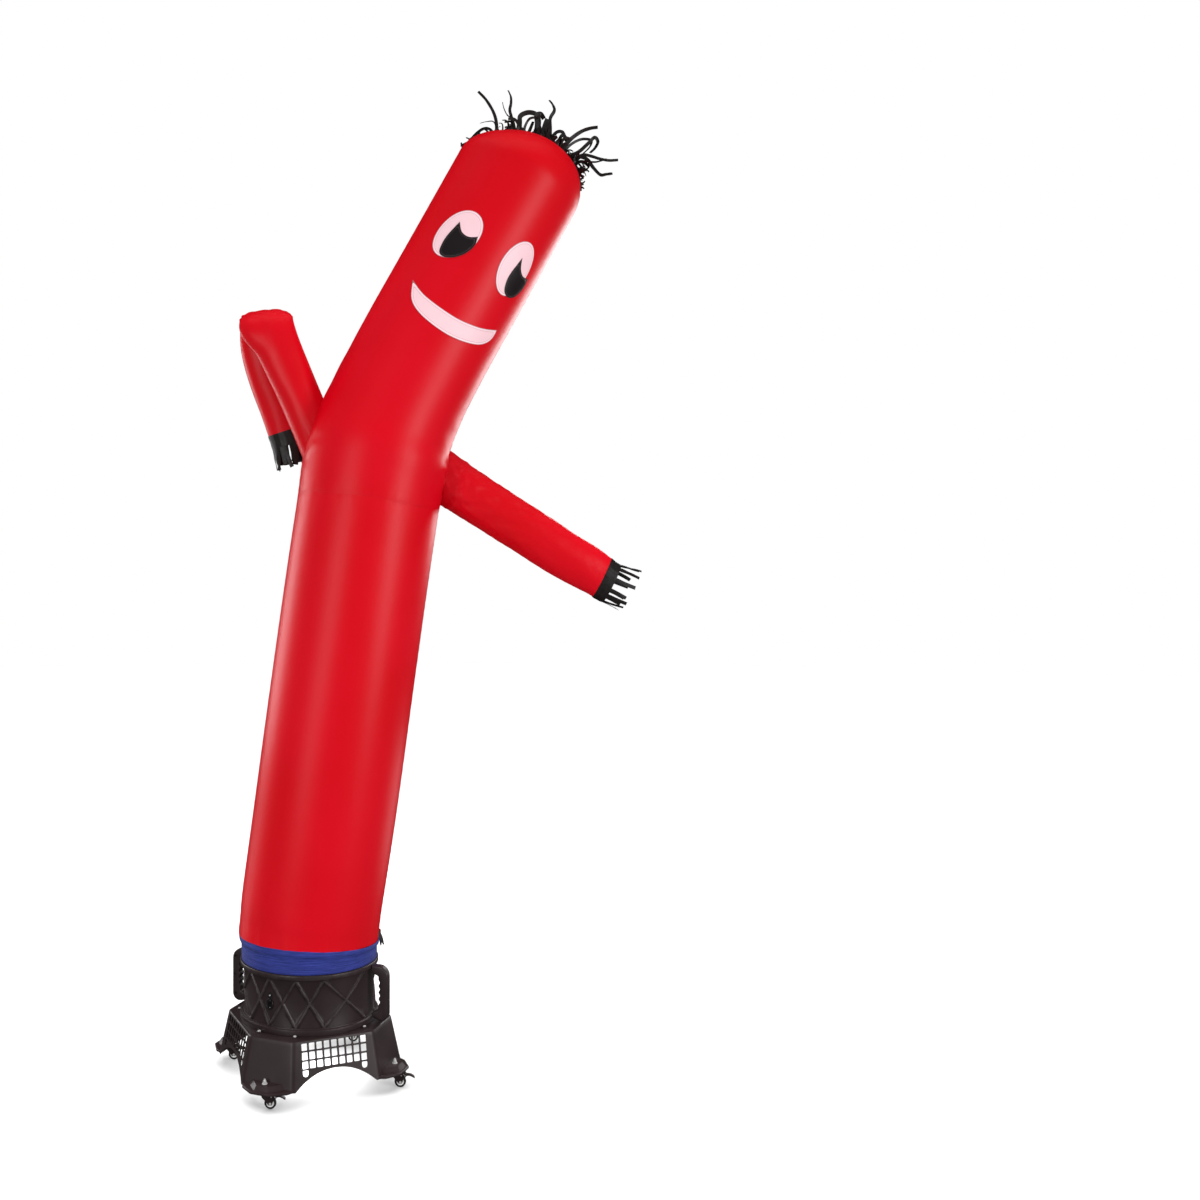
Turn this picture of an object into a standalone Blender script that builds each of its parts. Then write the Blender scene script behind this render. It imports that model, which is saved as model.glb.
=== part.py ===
"""Inflatable air dancer standing on its blower.

The dancer is thin cloth blown up into tubes: a lower tube, an upper tube with the head, two arms, sewn face
patches, cut fringes and a blue band round the blower's collar. The blower is a moulded drum on a flared skirt
with four casters, a motor and a fan. Metres, +Z up. The floor is z = 0, and the blower's axis is upright.
"""

import math
import random

import bmesh
import bpy
from mathutils import Vector
from mathutils.geometry import delaunay_2d_cdt

# ---- driving dimensions ----
AXIS_X = -0.4104         # the blower's upright axis, placed so that the dancer is centred on x = 0
AXIS_Y = 0.0
CLEAR = 0.0003           # gap left between pieces that touch

# blower, heights
AXLE_Z = 0.019
SKIRT_BOTTOM_Z = 0.055
SKIRT_TOP_Z = 0.205
DRUM_BOTTOM_Z = SKIRT_TOP_Z + CLEAR
LATTICE_LOW_Z = 0.2295
LATTICE_HIGH_Z = 0.3805
COLLAR_LOW_Z = 0.4005
COLLAR_HIGH_Z = 0.4600
RIM_TOP_Z = 0.4785
# blower, radii and angles
DUCT_R = 0.2145
PANEL_R = 0.2235
WAIST = 0.006            # how far the lattice panels draw in at mid height
RIB_PROUD = 0.005
RIB_HALF = 0.0048
RING_R = 0.2345
RING_BEVEL = 0.003
COLLAR_R = 0.2245
RIM_R = 0.2335
CORNER_DEG = -22.4       # front foot, measured from -Y towards +X
CASTER_R = 0.315
WALL = 0.003
# cloth
CLOTH = 0.0015
BAND_TOP_Z = 0.4800
BODY_SIDES = 28
ARM_SIDES = 14

HOME = bpy.data.objects.new("blower_axis", None)


def start_clean():
    for old in list(bpy.data.objects):
        if old is not HOME:
            bpy.data.objects.remove(old, do_unlink=True)
    bpy.context.scene.collection.objects.link(HOME)
    HOME.location = (AXIS_X, AXIS_Y, 0.0)


# ---- helpers ----
def material(name, colour, roughness, metallic=0.0):
    finish = bpy.data.materials.new(name)
    finish.use_nodes = True
    shader = finish.node_tree.nodes["Principled BSDF"]
    shader.inputs["Base Color"].default_value = (*colour, 1.0)
    shader.inputs["Roughness"].default_value = roughness
    shader.inputs["Metallic"].default_value = metallic
    finish.diffuse_color = (*colour, 1.0)
    return finish


def place(name, bm, finish, sharp_deg=35.0, at=(0.0, 0.0, 0.0)):
    """Make one named object from a closed bmesh, with its origin at a point of the blower's frame."""
    bmesh.ops.recalc_face_normals(bm, faces=bm.faces)
    mesh = bpy.data.meshes.new(name)
    bm.to_mesh(mesh)
    bm.free()
    mesh.materials.append(finish)
    mesh.shade_smooth()
    mesh.set_sharp_from_angle(angle=math.radians(sharp_deg))
    piece = bpy.data.objects.new(name, mesh)
    bpy.context.scene.collection.objects.link(piece)
    piece.parent = HOME
    piece.location = at
    return piece


def cutter(name, bm, at=(0.0, 0.0, 0.0)):
    """A guide body that only cuts others."""
    bmesh.ops.recalc_face_normals(bm, faces=bm.faces)
    mesh = bpy.data.meshes.new(name)
    bm.to_mesh(mesh)
    bm.free()
    guide = bpy.data.objects.new(name, mesh)
    bpy.context.scene.collection.objects.link(guide)
    guide.parent = HOME
    guide.location = at
    guide.hide_render = True
    guide.display_type = "WIRE"
    return guide


def subtract(piece, guide):
    cut = piece.modifiers.new("cut", "BOOLEAN")
    cut.operation = "DIFFERENCE"
    cut.object = guide


def bridge(bm, rings, loop=False, caps=False):
    """Join rings of equal length into one skin. A loop comes back to its first ring."""
    rows = [[bm.verts.new(p) for p in ring] for ring in rings]
    pairs = list(zip(rows, rows[1:])) + ([(rows[-1], rows[0])] if loop else [])
    for low, high in pairs:
        for i in range(len(low)):
            j = (i + 1) % len(low)
            bm.faces.new((low[i], low[j], high[j], high[i]))
    if caps:
        bm.faces.new(rows[0])
        bm.faces.new(rows[-1])
    return rows


def turned(profile, sides, phase=0.0, loop=True):
    """Rings of a closed (radius, height) profile turned about Z."""
    angles = [phase + math.tau * i / sides for i in range(sides)]
    return [[(r * math.sin(a), -r * math.cos(a), z) for a in angles] for r, z in profile]


def turned_piece(name, profile, sides, finish, at=(0.0, 0.0, 0.0), solid=False):
    bm = bmesh.new()
    bridge(bm, turned(profile, sides), loop=not solid, caps=solid)
    return place(name, bm, finish, at=at)


def rod(bm, radius, half_length, x=0.0, z=0.0):
    """A six-sided rod along Y."""
    steps = [math.tau * i / 6 for i in range(6)]
    rings = [[(x + radius * math.cos(a), y, z + radius * math.sin(a)) for a in steps]
             for y in (-half_length, half_length)]
    bridge(bm, rings, caps=True)


def polar(deg, radius, z, aside=0.0):
    """A point at an angle from -Y towards +X, stepped aside along the tangent."""
    a = math.radians(deg)
    outward = Vector((math.sin(a), -math.cos(a), 0.0))
    along = Vector((math.cos(a), math.sin(a), 0.0))
    return outward * radius + along * aside + Vector((0.0, 0.0, z))


def extruded(bm, outline, thickness_vector):
    """A prism: an outline of points moved along a vector."""
    rings = [outline, [Vector(p) + thickness_vector for p in outline]]
    bridge(bm, rings, caps=True)


def catmull(rows, count):
    """Read a smooth curve through equal-length rows at count points."""
    last = len(rows) - 1
    out = []
    for n in range(count):
        s = last * n / (count - 1)
        i = min(int(s), last - 1)
        t = s - i
        p0, p1, p2, p3 = (rows[max(0, min(last, i + k))] for k in (-1, 0, 1, 2))
        out.append([
            b + 0.5 * t * (c - a + t * (2 * a - 5 * b + 4 * c - d + t * (3 * b - a - 3 * c + d)))
            for a, b, c, d in zip(p0, p1, p2, p3)
        ])
    return out


# ---- the dancer's cloth ----
# Body stations: x and z of the ring's centre, its radius, and its lean from upright towards +X in degrees.
LOWER_STATIONS = [
    # x,      z,      radius, lean
    (-0.0030, 0.4803, 0.2367, 0.0),
    (0.0010, 0.5150, 0.2368, 5.0),
    (0.0110, 0.6000, 0.2398, 7.6),
    (0.0500, 0.8700, 0.2420, 8.2),
    (0.1060, 1.2800, 0.2420, 7.9),
    (0.1590, 1.6600, 0.2418, 7.8),
    (0.2010, 1.9410, 0.2412, 8.2),
]
UPPER_STATIONS = [
    (0.2010, 1.9410, 0.2412, 8.2),
    (0.2160, 2.0330, 0.2450, 11.5),
    (0.2350, 2.1140, 0.2460, 17.0),
    (0.2620, 2.2000, 0.2350, 23.0),
    (0.3150, 2.3190, 0.2275, 27.0),
]
HEAD_LEAN = math.radians(29.2)
HEAD_FOOT = Vector((0.4005, 0.0, 2.4830))     # where the straight head begins
HEAD_LENGTH = 0.6255
HEAD_R_LOW = 0.2250
HEAD_R_HIGH = 0.2215
CROWN_HEIGHT = 0.167
CROWN_LEAN = math.radians(22.5)
CROWN_STEPS_DEG = (14.0, 31.0, 50.0, 68.0, 82.0)
SEAM_PINCH = 0.35        # how sharply the front and back panels meet at the crown seam


def ring(x, z, half_width, lean, half_depth=None, pinch=0.0, sides=BODY_SIDES):
    """A ring of cloth square to a line that leans from upright towards +X."""
    half_depth = half_width if half_depth is None else half_depth
    across = Vector((math.cos(lean), 0.0, -math.sin(lean)))
    points = []
    for i in range(sides):
        a = math.tau * i / sides
        deep = math.sin(a) * abs(math.sin(a)) ** pinch
        points.append(Vector((x, half_depth * deep, z)) + across * half_width * math.cos(a))
    return points


def head_point(up):
    return HEAD_FOOT + Vector((math.sin(HEAD_LEAN), 0.0, math.cos(HEAD_LEAN))) * up


def crown_frame(step_deg):
    """Centre, half width and half depth of the crown's ring at a step from 0 (its foot) to 90 (its top)."""
    s = math.radians(step_deg)
    rise = CROWN_HEIGHT * math.sin(s)
    lean = HEAD_LEAN + (CROWN_LEAN - HEAD_LEAN) * min(1.0, step_deg / 45.0)
    foot = head_point(HEAD_LENGTH)
    centre = foot + Vector((math.sin(HEAD_LEAN), 0.0, math.cos(HEAD_LEAN))) * rise
    return centre, HEAD_R_HIGH * math.cos(s), HEAD_R_HIGH * math.cos(s) ** 1.15, lean


def upper_rings(inset=0.0):
    rings = [ring(x, z, r - inset, math.radians(lean)) for x, z, r, lean in UPPER_STATIONS]
    for share in (0.0, 1.0):
        c = head_point(HEAD_LENGTH * share)
        r = HEAD_R_LOW + (HEAD_R_HIGH - HEAD_R_LOW) * share
        rings.append(ring(c.x, c.z, r - inset, HEAD_LEAN))
    for step in CROWN_STEPS_DEG:
        c, wide, deep, lean = crown_frame(step)
        pull = 1.0 - inset / HEAD_R_HIGH
        sink = inset * math.sin(math.radians(step))
        c = c - Vector((math.sin(lean), 0.0, math.cos(lean))) * sink
        pinch = SEAM_PINCH * step / 90.0
        rings.append(ring(c.x, c.z, wide * pull, lean, deep * pull, pinch))
    return rings


def lower_rings(inset=0.0):
    return [ring(x, z, r - inset, math.radians(lean)) for x, z, r, lean in LOWER_STATIONS]


def make_lower_tube(finish):
    bm = bmesh.new()
    rings = lower_rings()
    back = math.radians(LOWER_STATIONS[-1][3])
    gap = Vector((math.sin(back), 0.0, math.cos(back))) * CLEAR
    inner = lower_rings(CLOTH)
    for skin in (rings, inner):
        skin[-1] = [p - gap for p in skin[-1]]
    bridge(bm, rings + inner[::-1], loop=True)
    return place("tube_lower", bm, finish)


def make_upper_tube(finish, bores):
    bm = bmesh.new()
    outer = upper_rings()
    inner = upper_rings(CLOTH)
    rows = bridge(bm, outer[::-1] + inner)
    bm.faces.new(rows[0])
    bm.faces.new(rows[-1])
    tube = place("tube_upper", bm, finish)
    for bore in bores:
        subtract(tube, bore)
    return tube


def body_form():
    """The body's outside, a hair proud of it, which trims the arms' roots."""
    bm = bmesh.new()
    low = [ring(x, z, r + CLEAR, math.radians(lean)) for x, z, r, lean in LOWER_STATIONS[-3:-1]]
    bridge(bm, low + upper_rings(-CLEAR)[:-2], caps=True)
    return cutter("body_form", bm)


# Arm stations: centre, half width in the front view, half depth towards the back.
ARM_LEFT = [
    # x,      y,      z,      wide,   deep
    (0.0902, 0.0000, 2.0190, 0.0740, 0.0700),
    (0.0499, -0.0100, 2.1100, 0.0735, 0.0690),
    (0.0098, -0.0200, 2.2040, 0.0720, 0.0660),
    (-0.0286, -0.0300, 2.2935, 0.0710, 0.0600),
    (-0.0660, -0.0420, 2.3790, 0.0730, 0.0550),
    (-0.1022, -0.0520, 2.4647, 0.0760, 0.0480),
    (-0.1265, -0.0450, 2.5300, 0.0830, 0.0380),
    (-0.1450, 0.0000, 2.5730, 0.0860, 0.0280),
    (-0.1615, 0.0450, 2.5480, 0.0820, 0.0360),
    (-0.1684, 0.0620, 2.4918, 0.0760, 0.0450),
    (-0.1598, 0.0770, 2.4291, 0.0720, 0.0520),
    (-0.1378, 0.0960, 2.3528, 0.0710, 0.0550),
    (-0.1087, 0.1090, 2.2750, 0.0710, 0.0540),
    (-0.0830, 0.1200, 2.1959, 0.0700, 0.0500),
]
ARM_LEFT_WIDTH = Vector((0.94, 0.0, 0.34))
ARM_LEFT_RINGS = 16
ARM_RIGHT = [
    (0.4000, 0.0500, 2.0700, 0.0900, 0.0620),
    (0.4794, 0.0500, 2.0206, 0.0870, 0.0620),
    (0.5415, 0.0500, 1.9790, 0.0845, 0.0600),
    (0.6554, 0.0500, 1.9067, 0.0830, 0.0580),
    (0.7658, 0.0500, 1.8356, 0.0825, 0.0570),
    (0.8700, 0.0500, 1.7683, 0.0815, 0.0550),
    (0.9486, 0.0500, 1.7170, 0.0765, 0.0500),
    (0.9959, 0.0500, 1.6797, 0.0715, 0.0450),
]
ARM_RIGHT_WIDTH = Vector((0.54, 0.0, 0.84))
ARM_RIGHT_RINGS = 7


def arm_rings(stations, width_guide, count, inset=0.0, sides=ARM_SIDES):
    """Oval rings along an arm, square to its run, with their width kept near one direction."""
    path = catmull(stations, count)
    rings = []
    for i, (x, y, z, wide, deep) in enumerate(path):
        before, after = path[max(0, i - 1)], path[min(count - 1, i + 1)]
        run = (Vector(after[:3]) - Vector(before[:3])).normalized()
        width = (width_guide - run * width_guide.dot(run)).normalized()
        depth = run.cross(width)
        rings.append([
            Vector((x, y, z))
            + width * (wide - inset) * math.cos(math.tau * k / sides)
            + depth * (deep - inset) * math.sin(math.tau * k / sides)
            for k in range(sides)
        ])
    return rings


def make_arm(name, stations, width_guide, count, finish, trim):
    bm = bmesh.new()
    outer = arm_rings(stations, width_guide, count)
    inner = arm_rings(stations, width_guide, count, CLOTH)
    bridge(bm, outer + inner[::-1], loop=True)
    arm = place(name, bm, finish)
    subtract(arm, trim)
    return arm


def arm_bore(name, stations, width_guide, reach, inset=0.010):
    """The hole that lets air from the body into an arm."""
    bm = bmesh.new()
    bridge(bm, arm_rings(stations[:reach], width_guide, reach, inset), caps=True)
    return cutter(name, bm)


def make_hand(name, stations, width_guide, count, heading, length, splay, seed, finish):
    """A black cuff that carries on an arm's end, every second part of its edge cut on into a strand."""
    chance = random.Random(seed)
    sides = 2 * HAND_STRANDS
    rings = arm_rings(stations, width_guide, count, 0.0, sides)
    end, before = rings[-1], rings[-2]
    centre = sum(end, Vector()) / sides
    run = (centre - sum(before, Vector()) / sides).normalized()
    shift = run * CLEAR
    cuff = [[p + shift for p in end]]
    cuff.append([centre + (p - centre) * CUFF_DRAW + run * CUFF_LENGTH for p in end])
    inner = [[centre + (p - centre) * CUFF_INNER + (p0 - p) for p, p0 in zip(end, cuff[0])]]
    inner.append([centre + (p - centre) * CUFF_INNER * CUFF_DRAW + run * CUFF_LENGTH for p in end])
    bm = bmesh.new()
    rows = bridge(bm, [cuff[0], cuff[1], inner[1], inner[0]], loop=True)
    tip_centre = centre + run * CUFF_LENGTH
    heading = heading.normalized()
    for k in range(0, sides, 2):
        j = (k + 1) % sides
        face = next(f for f in rows[1][k].link_faces
                    if rows[1][j] in f.verts and rows[2][k] in f.verts)
        out = (cuff[1][k] - tip_centre) * splay / 0.07
        way = (heading + out + Vector((chance.uniform(-0.10, 0.10), chance.uniform(-0.12, 0.12),
                                       chance.uniform(-0.10, 0.10)))).normalized()
        step = length * chance.uniform(0.75, 1.1) / STRAND_STEPS
        grow_strand(bm, face, way, step, STRAND_STEPS, 0.90, Vector((0.0, 0.0, -0.06)))
    return place(name, bm, finish, 60.0)


def grow_strand(bm, face, way, step, steps, taper, pull):
    """Draw one face out into a strand, bending it a little at each step."""
    for _ in range(steps):
        grown = bmesh.ops.extrude_discrete_faces(bm, faces=[face])["faces"][0]
        way = (way + pull).normalized()
        middle = grown.calc_center_median()
        for v in grown.verts:
            v.co = middle + (v.co - middle) * taper + way * step
        face = grown
    return face


HAND_STRANDS = 14
CUFF_LENGTH = 0.026
CUFF_DRAW = 0.96
CUFF_INNER = 0.96
STRAND_STEPS = 2

# The long locks, by their cell from the left: length, lean along the seam, lean to the back.
LONG_LOCKS = {
    10: (0.140, -0.27, 0.10),
    15: (0.130, -0.09, -0.12),
    26: (0.120, -0.25, 0.10),
    32: (0.125, 0.05, -0.15),
    36: (0.155, 0.28, 0.10),
    39: (0.120, 0.20, -0.10),
}
HAIR_CELLS = 43
HEADER_LEFT_DEG = 6.0        # how far down each side of the crown the header strip reaches
HEADER_RIGHT_DEG = 24.0
HEADER_HALF = 0.0020
HEADER_LIFT = 0.0004
HEADER_TALL = 0.0100
HAIR_STEPS = 3


def crown_edge(deg, lift):
    """A point above the crown seam: 0 is the seam's left foot, 90 its top, 180 its right foot."""
    step = deg if deg <= 90.0 else 180.0 - deg
    side = -1.0 if deg <= 90.0 else 1.0
    c, wide, _, lean = crown_frame(step)
    across = Vector((math.cos(lean), 0.0, -math.sin(lean)))
    up = Vector((math.sin(lean), 0.0, math.cos(lean)))
    s = math.radians(step)
    return c + across * side * (wide + lift * math.cos(s)) + up * lift * math.sin(s)


def header_angles():
    """The crown's own ring steps, over the top, with each stretch shared into cells."""
    marks = [HEADER_LEFT_DEG, *(s for s in CROWN_STEPS_DEG if s > HEADER_LEFT_DEG), 90.0]
    marks += [180.0 - s for s in CROWN_STEPS_DEG[::-1] if s > HEADER_RIGHT_DEG] + [180.0 - HEADER_RIGHT_DEG]
    whole = marks[-1] - marks[0]
    corners = []
    for low, high in zip(marks, marks[1:]):
        cells = max(1, round(HAIR_CELLS * (high - low) / whole))
        corners += [(low, high, n / cells) for n in range(cells)]
    return corners + [(marks[-2], marks[-1], 1.0)]


def make_hair(finish):
    chance = random.Random(11)
    lift = HEADER_LIFT
    foot, top = [], []
    for low, high, share in header_angles():
        for line, rise in ((foot, lift), (top, lift + HEADER_TALL)):
            line.append(crown_edge(low, rise).lerp(crown_edge(high, rise), share))
    back = Vector((0.0, HEADER_HALF, 0.0))
    rings = [[f - back, t - back, t + back, f + back] for f, t in zip(foot, top)]
    bm = bmesh.new()
    rows = bridge(bm, rings, caps=True)
    for i, (low, high) in enumerate(zip(rows, rows[1:])):
        face = next(f for f in low[1].link_faces if high[1] in f.verts and low[2] in f.verts)
        out = (top[i] - foot[i]).normalized()
        along = (top[i + 1] - top[i]).normalized()
        side = 1.0 if i % 2 else -1.0
        length = chance.uniform(0.045, 0.080)
        slant = chance.uniform(-0.30, 0.30)
        deep = side * chance.uniform(0.25, 0.80)
        bend = chance.uniform(-0.45, 0.45)
        if i in LONG_LOCKS:
            length, slant, deep = LONG_LOCKS[i]
            bend *= 0.3
        way = (out + along * slant + Vector((0.0, deep, 0.0))).normalized()
        curl = Vector((0.0, 0.25 * deep, -0.12)) + along * bend
        grow_strand(bm, face, way, length / HAIR_STEPS, HAIR_STEPS, 0.93, curl)
    return place("hair_fringe", bm, finish, 60.0)


# Face patches, laid out flat on the head: across from the seam of the front view, up from the head's foot.
PATCH = 0.0010
PATCH_LIFT = 0.0011
PUPIL_LIFT = PATCH_LIFT + PATCH + 0.0009
EYES = {
    # name:            across,  up,     half width, half height, tilt
    "eye_white_left": (-0.0713, 0.3158, 0.0683, 0.0928, 23.5),
    "eye_white_right": (0.1611, 0.3224, 0.0623, 0.0979, 4.4),
}
# Each outline is made of smooth runs that meet at corners.
PUPILS = {
    "pupil_left": [
        [(-0.0839, 0.3551), (-0.0604, 0.3278), (-0.0316, 0.3230), (-0.0060, 0.3366)],
        [(-0.0060, 0.3366), (-0.0022, 0.3032), (-0.0176, 0.2667), (-0.0454, 0.2398), (-0.0757, 0.2298),
         (-0.0960, 0.2396), (-0.1017, 0.2660), (-0.0993, 0.3011), (-0.0839, 0.3551)],
    ],
    "pupil_right": [
        [(0.1621, 0.3635), (0.1794, 0.3337), (0.2052, 0.3211), (0.2364, 0.3281)],
        [(0.2364, 0.3281), (0.2395, 0.2945), (0.2227, 0.2556), (0.1937, 0.2339), (0.1671, 0.2386),
         (0.1538, 0.2620), (0.1507, 0.2967), (0.1621, 0.3635)],
    ],
}
SMILE = [
    [(-0.1334, 0.1223), (-0.0593, 0.0892), (0.0486, 0.0762), (0.1434, 0.0933), (0.2263, 0.1292)],
    [(0.2263, 0.1292), (0.2205, 0.0873), (0.1812, 0.0492), (0.1097, 0.0226), (0.0384, 0.0148),
     (-0.0435, 0.0284), (-0.1003, 0.0612), (-0.1334, 0.1223)],
]


def on_head(across, up, lift):
    r = HEAD_R_LOW + (HEAD_R_HIGH - HEAD_R_LOW) * up / HEAD_LENGTH
    turn = across / r
    c = head_point(up)
    sideways = Vector((math.cos(HEAD_LEAN), 0.0, -math.sin(HEAD_LEAN)))
    return c + sideways * (r + lift) * math.sin(turn) + Vector((0.0, -(r + lift) * math.cos(turn), 0.0))


def oval(across, up, half_width, half_height, tilt_deg, count=24):
    t = math.radians(tilt_deg)
    points = []
    for i in range(count):
        a = math.tau * i / count
        u, v = half_width * math.cos(a), half_height * math.sin(a)
        points.append((across + u * math.cos(t) + v * math.sin(t), up - u * math.sin(t) + v * math.cos(t)))
    return points


def smooth_outline(runs):
    points = []
    for run in runs:
        points += [tuple(p) for p in catmull(run, 2 * len(run) + 1)][:-1]
    return points


def make_patch(name, outline, lift, finish):
    """A flat-cut patch laid round the head: its outline and a grid inside it, joined into thin cloth."""
    pitch = 0.023
    us, vs = [p[0] for p in outline], [p[1] for p in outline]
    grid = []
    for i in range(int((max(us) - min(us)) / pitch) + 1):
        for j in range(int((max(vs) - min(vs)) / pitch) + 1):
            p = (min(us) + (i + 0.5) * pitch, min(vs) + (j + 0.5) * pitch)
            if all(math.dist(p, q) > 0.4 * pitch for q in outline):
                grid.append(p)
    edges = [(i, (i + 1) % len(outline)) for i in range(len(outline))]
    points = [Vector(p) for p in outline + grid]
    flat, _, faces, *_ = delaunay_2d_cdt(points, edges, [list(range(len(outline)))], 1, 1e-6)
    used = sorted({i for f in faces for i in f})
    bm = bmesh.new()
    skins = []
    for height in (lift, lift + PATCH):
        verts = {i: bm.verts.new(on_head(flat[i].x, flat[i].y, height)) for i in used}
        for f in faces:
            bm.faces.new([verts[i] for i in f])
        skins.append(verts)
    seen = {}
    for f in faces:
        for a, b in zip(f, f[1:] + f[:1]):
            seen.setdefault(frozenset((a, b)), []).append((a, b))
    for (a, b), in (pairs for pairs in seen.values() if len(pairs) == 1):
        bm.faces.new((skins[0][a], skins[0][b], skins[1][b], skins[1][a]))
    return place(name, bm, finish, 50.0)


BAND_SIDES = 36
BAND = 0.0020
BAND_LOW_R = 0.2270      # inside radius over the hook tape
BAND_HIGH_R = 0.2348     # inside radius over the rim


def make_band(finish):
    inner = [(BAND_LOW_R, 0.4012), (BAND_LOW_R, 0.4550), (BAND_HIGH_R, 0.4596), (BAND_HIGH_R, BAND_TOP_Z)]
    outer = [(r + BAND, z) for r, z in inner]
    outer[1] = (BAND_LOW_R + BAND, 0.4530)
    outer[2] = (BAND_HIGH_R + BAND, 0.4590)
    return turned_piece("base_band", inner + outer[::-1], BAND_SIDES, finish)


def make_band_tail(finish):
    """The loose end of the band's strap, a short strip that hangs from the band's top edge."""
    reach = [(BAND_HIGH_R + BAND + CLEAR + 0.0002, 0.4760), (BAND_HIGH_R + BAND + 0.0030, 0.4560),
             (BAND_HIGH_R + BAND + 0.0065, 0.4360), (BAND_HIGH_R + BAND + 0.0060, 0.4180)]
    rings = []
    for r, z in reach:
        corners = ((r, -0.012), (r + 0.0015, -0.012), (r + 0.0015, 0.012), (r, 0.012))
        rings.append([polar(98.0, radius, z, aside) for radius, aside in corners])
    bm = bmesh.new()
    bridge(bm, rings, caps=True)
    return place("band_tail", bm, finish)


def make_dancer(paint):
    trim = body_form()
    bores = [
        arm_bore("bore_left", ARM_LEFT, ARM_LEFT_WIDTH, 3),
        arm_bore("bore_right", ARM_RIGHT, ARM_RIGHT_WIDTH, 3),
    ]
    make_lower_tube(paint["red"])
    make_upper_tube(paint["red"], bores)
    make_arm("arm_left", ARM_LEFT, ARM_LEFT_WIDTH, ARM_LEFT_RINGS, paint["red"], trim)
    make_arm("arm_right", ARM_RIGHT, ARM_RIGHT_WIDTH, ARM_RIGHT_RINGS, paint["red"], trim)
    hanging = Vector((0.02, 0.08, -1.0))
    blown_out = Vector((0.89, 0.0, -0.45))
    make_hand("hand_fringe_left", ARM_LEFT, ARM_LEFT_WIDTH, ARM_LEFT_RINGS,
              hanging, 0.095, -0.05, 3, paint["black"])
    make_hand("hand_fringe_right", ARM_RIGHT, ARM_RIGHT_WIDTH, ARM_RIGHT_RINGS,
              blown_out, 0.100, 0.20, 5, paint["black"])
    make_hair(paint["black"])
    for name, shape in EYES.items():
        make_patch(name, oval(*shape), PATCH_LIFT, paint["white"])
    for name, runs in PUPILS.items():
        make_patch(name, smooth_outline(runs), PUPIL_LIFT, paint["black"])
    make_patch("smile", smooth_outline(SMILE), PATCH_LIFT, paint["white"])
    make_band(paint["blue"])
    make_band_tail(paint["black"])


# ---- the blower ----
APEX_DEG = (-78.0, -32.5, -8.9, 15.3, 38.6, 80.0)      # lattice apexes each side of a foot's direction


def lattice_column(u, half_span):
    """Eleven (height share, rib?) marks up one column of a lattice cell, u from -1 to 1 across it."""
    slope = 1.0 / half_span
    w = RIB_HALF * math.hypot(slope, 2.0 / (LATTICE_HIGH_Z - LATTICE_LOW_Z))
    top = 0.5 * w
    a = abs(u)
    low = [max(-1.0, min(0.0, v)) for v in (-1.0, -a - w, -a - top, -a + top, -a + w)]
    at_foot = low[2] <= -1.0
    at_middle = low[3] >= 0.0
    marks = list(zip(low, (at_foot, at_foot, True, True, at_middle)))
    return marks + [(0.0, at_middle)] + [(-v, rib) for v, rib in marks[::-1]]


def lattice_columns():
    """(angle, [(radius, z)]) of each column round the drum, front half and back half alike."""
    columns = []
    middle = 0.5 * (LATTICE_LOW_Z + LATTICE_HIGH_Z)
    reach = 0.5 * (LATTICE_HIGH_Z - LATTICE_LOW_Z)
    for half in (0.0, 180.0):
        for left, right in zip(APEX_DEG, APEX_DEG[1:]):
            span = 0.5 * math.radians(right - left) * PANEL_R
            w = RIB_HALF * math.hypot(1.0 / span, 1.0 / reach)
            inner = (-0.5, 0.0, 0.5) if right - left > 30.0 else (0.0,)
            shares = [-1.0, w - 1.0, *inner, 1.0 - w, 1.0]
            for u in shares if right == APEX_DEG[-1] else shares[:-1]:
                marks = lattice_column(u, span)
                deg = CORNER_DEG + half + 0.5 * (left + right) + 0.5 * u * (right - left)
                column = []
                for v, rib in marks:
                    r = PANEL_R - WAIST * (1.0 - v * v) + (RIB_PROUD if rib else 0.0)
                    column.append((r, middle + v * reach))
                columns.append((deg, column))
        columns.append((CORNER_DEG + half + 90.0, [(PANEL_R - WAIST * (1.0 - v * v), middle + v * reach)
                                                   for v, _ in lattice_column(1.0, span)]))
    return columns


def make_drum(finish):
    """One moulding: lower ring, lattice barrel, mid ring, collar and rim round a plain duct."""
    below = [
        (DUCT_R, DRUM_BOTTOM_Z),
        (RING_R, DRUM_BOTTOM_Z),
        (RING_R, LATTICE_LOW_Z - RING_BEVEL),
    ]
    above = [
        (RING_R, LATTICE_HIGH_Z + RING_BEVEL),
        (RING_R, COLLAR_LOW_Z),
        (COLLAR_R, COLLAR_LOW_Z),
        (COLLAR_R, COLLAR_HIGH_Z),
        (RIM_R, COLLAR_HIGH_Z),
        (RIM_R, RIM_TOP_Z - RING_BEVEL),
        (RIM_R - RING_BEVEL, RIM_TOP_Z),
        (DUCT_R, RIM_TOP_Z),
    ]
    columns = lattice_columns()
    bm = bmesh.new()
    rings = []
    for deg, lattice in columns:
        rings.append([polar(deg, r, z) for r, z in below + lattice + above])
    bridge(bm, rings, loop=True)
    bmesh.ops.remove_doubles(bm, verts=bm.verts, dist=0.00005)
    bmesh.ops.dissolve_degenerate(bm, edges=bm.edges, dist=0.00005)
    return place("drum", bm, finish, 30.0)


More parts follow.
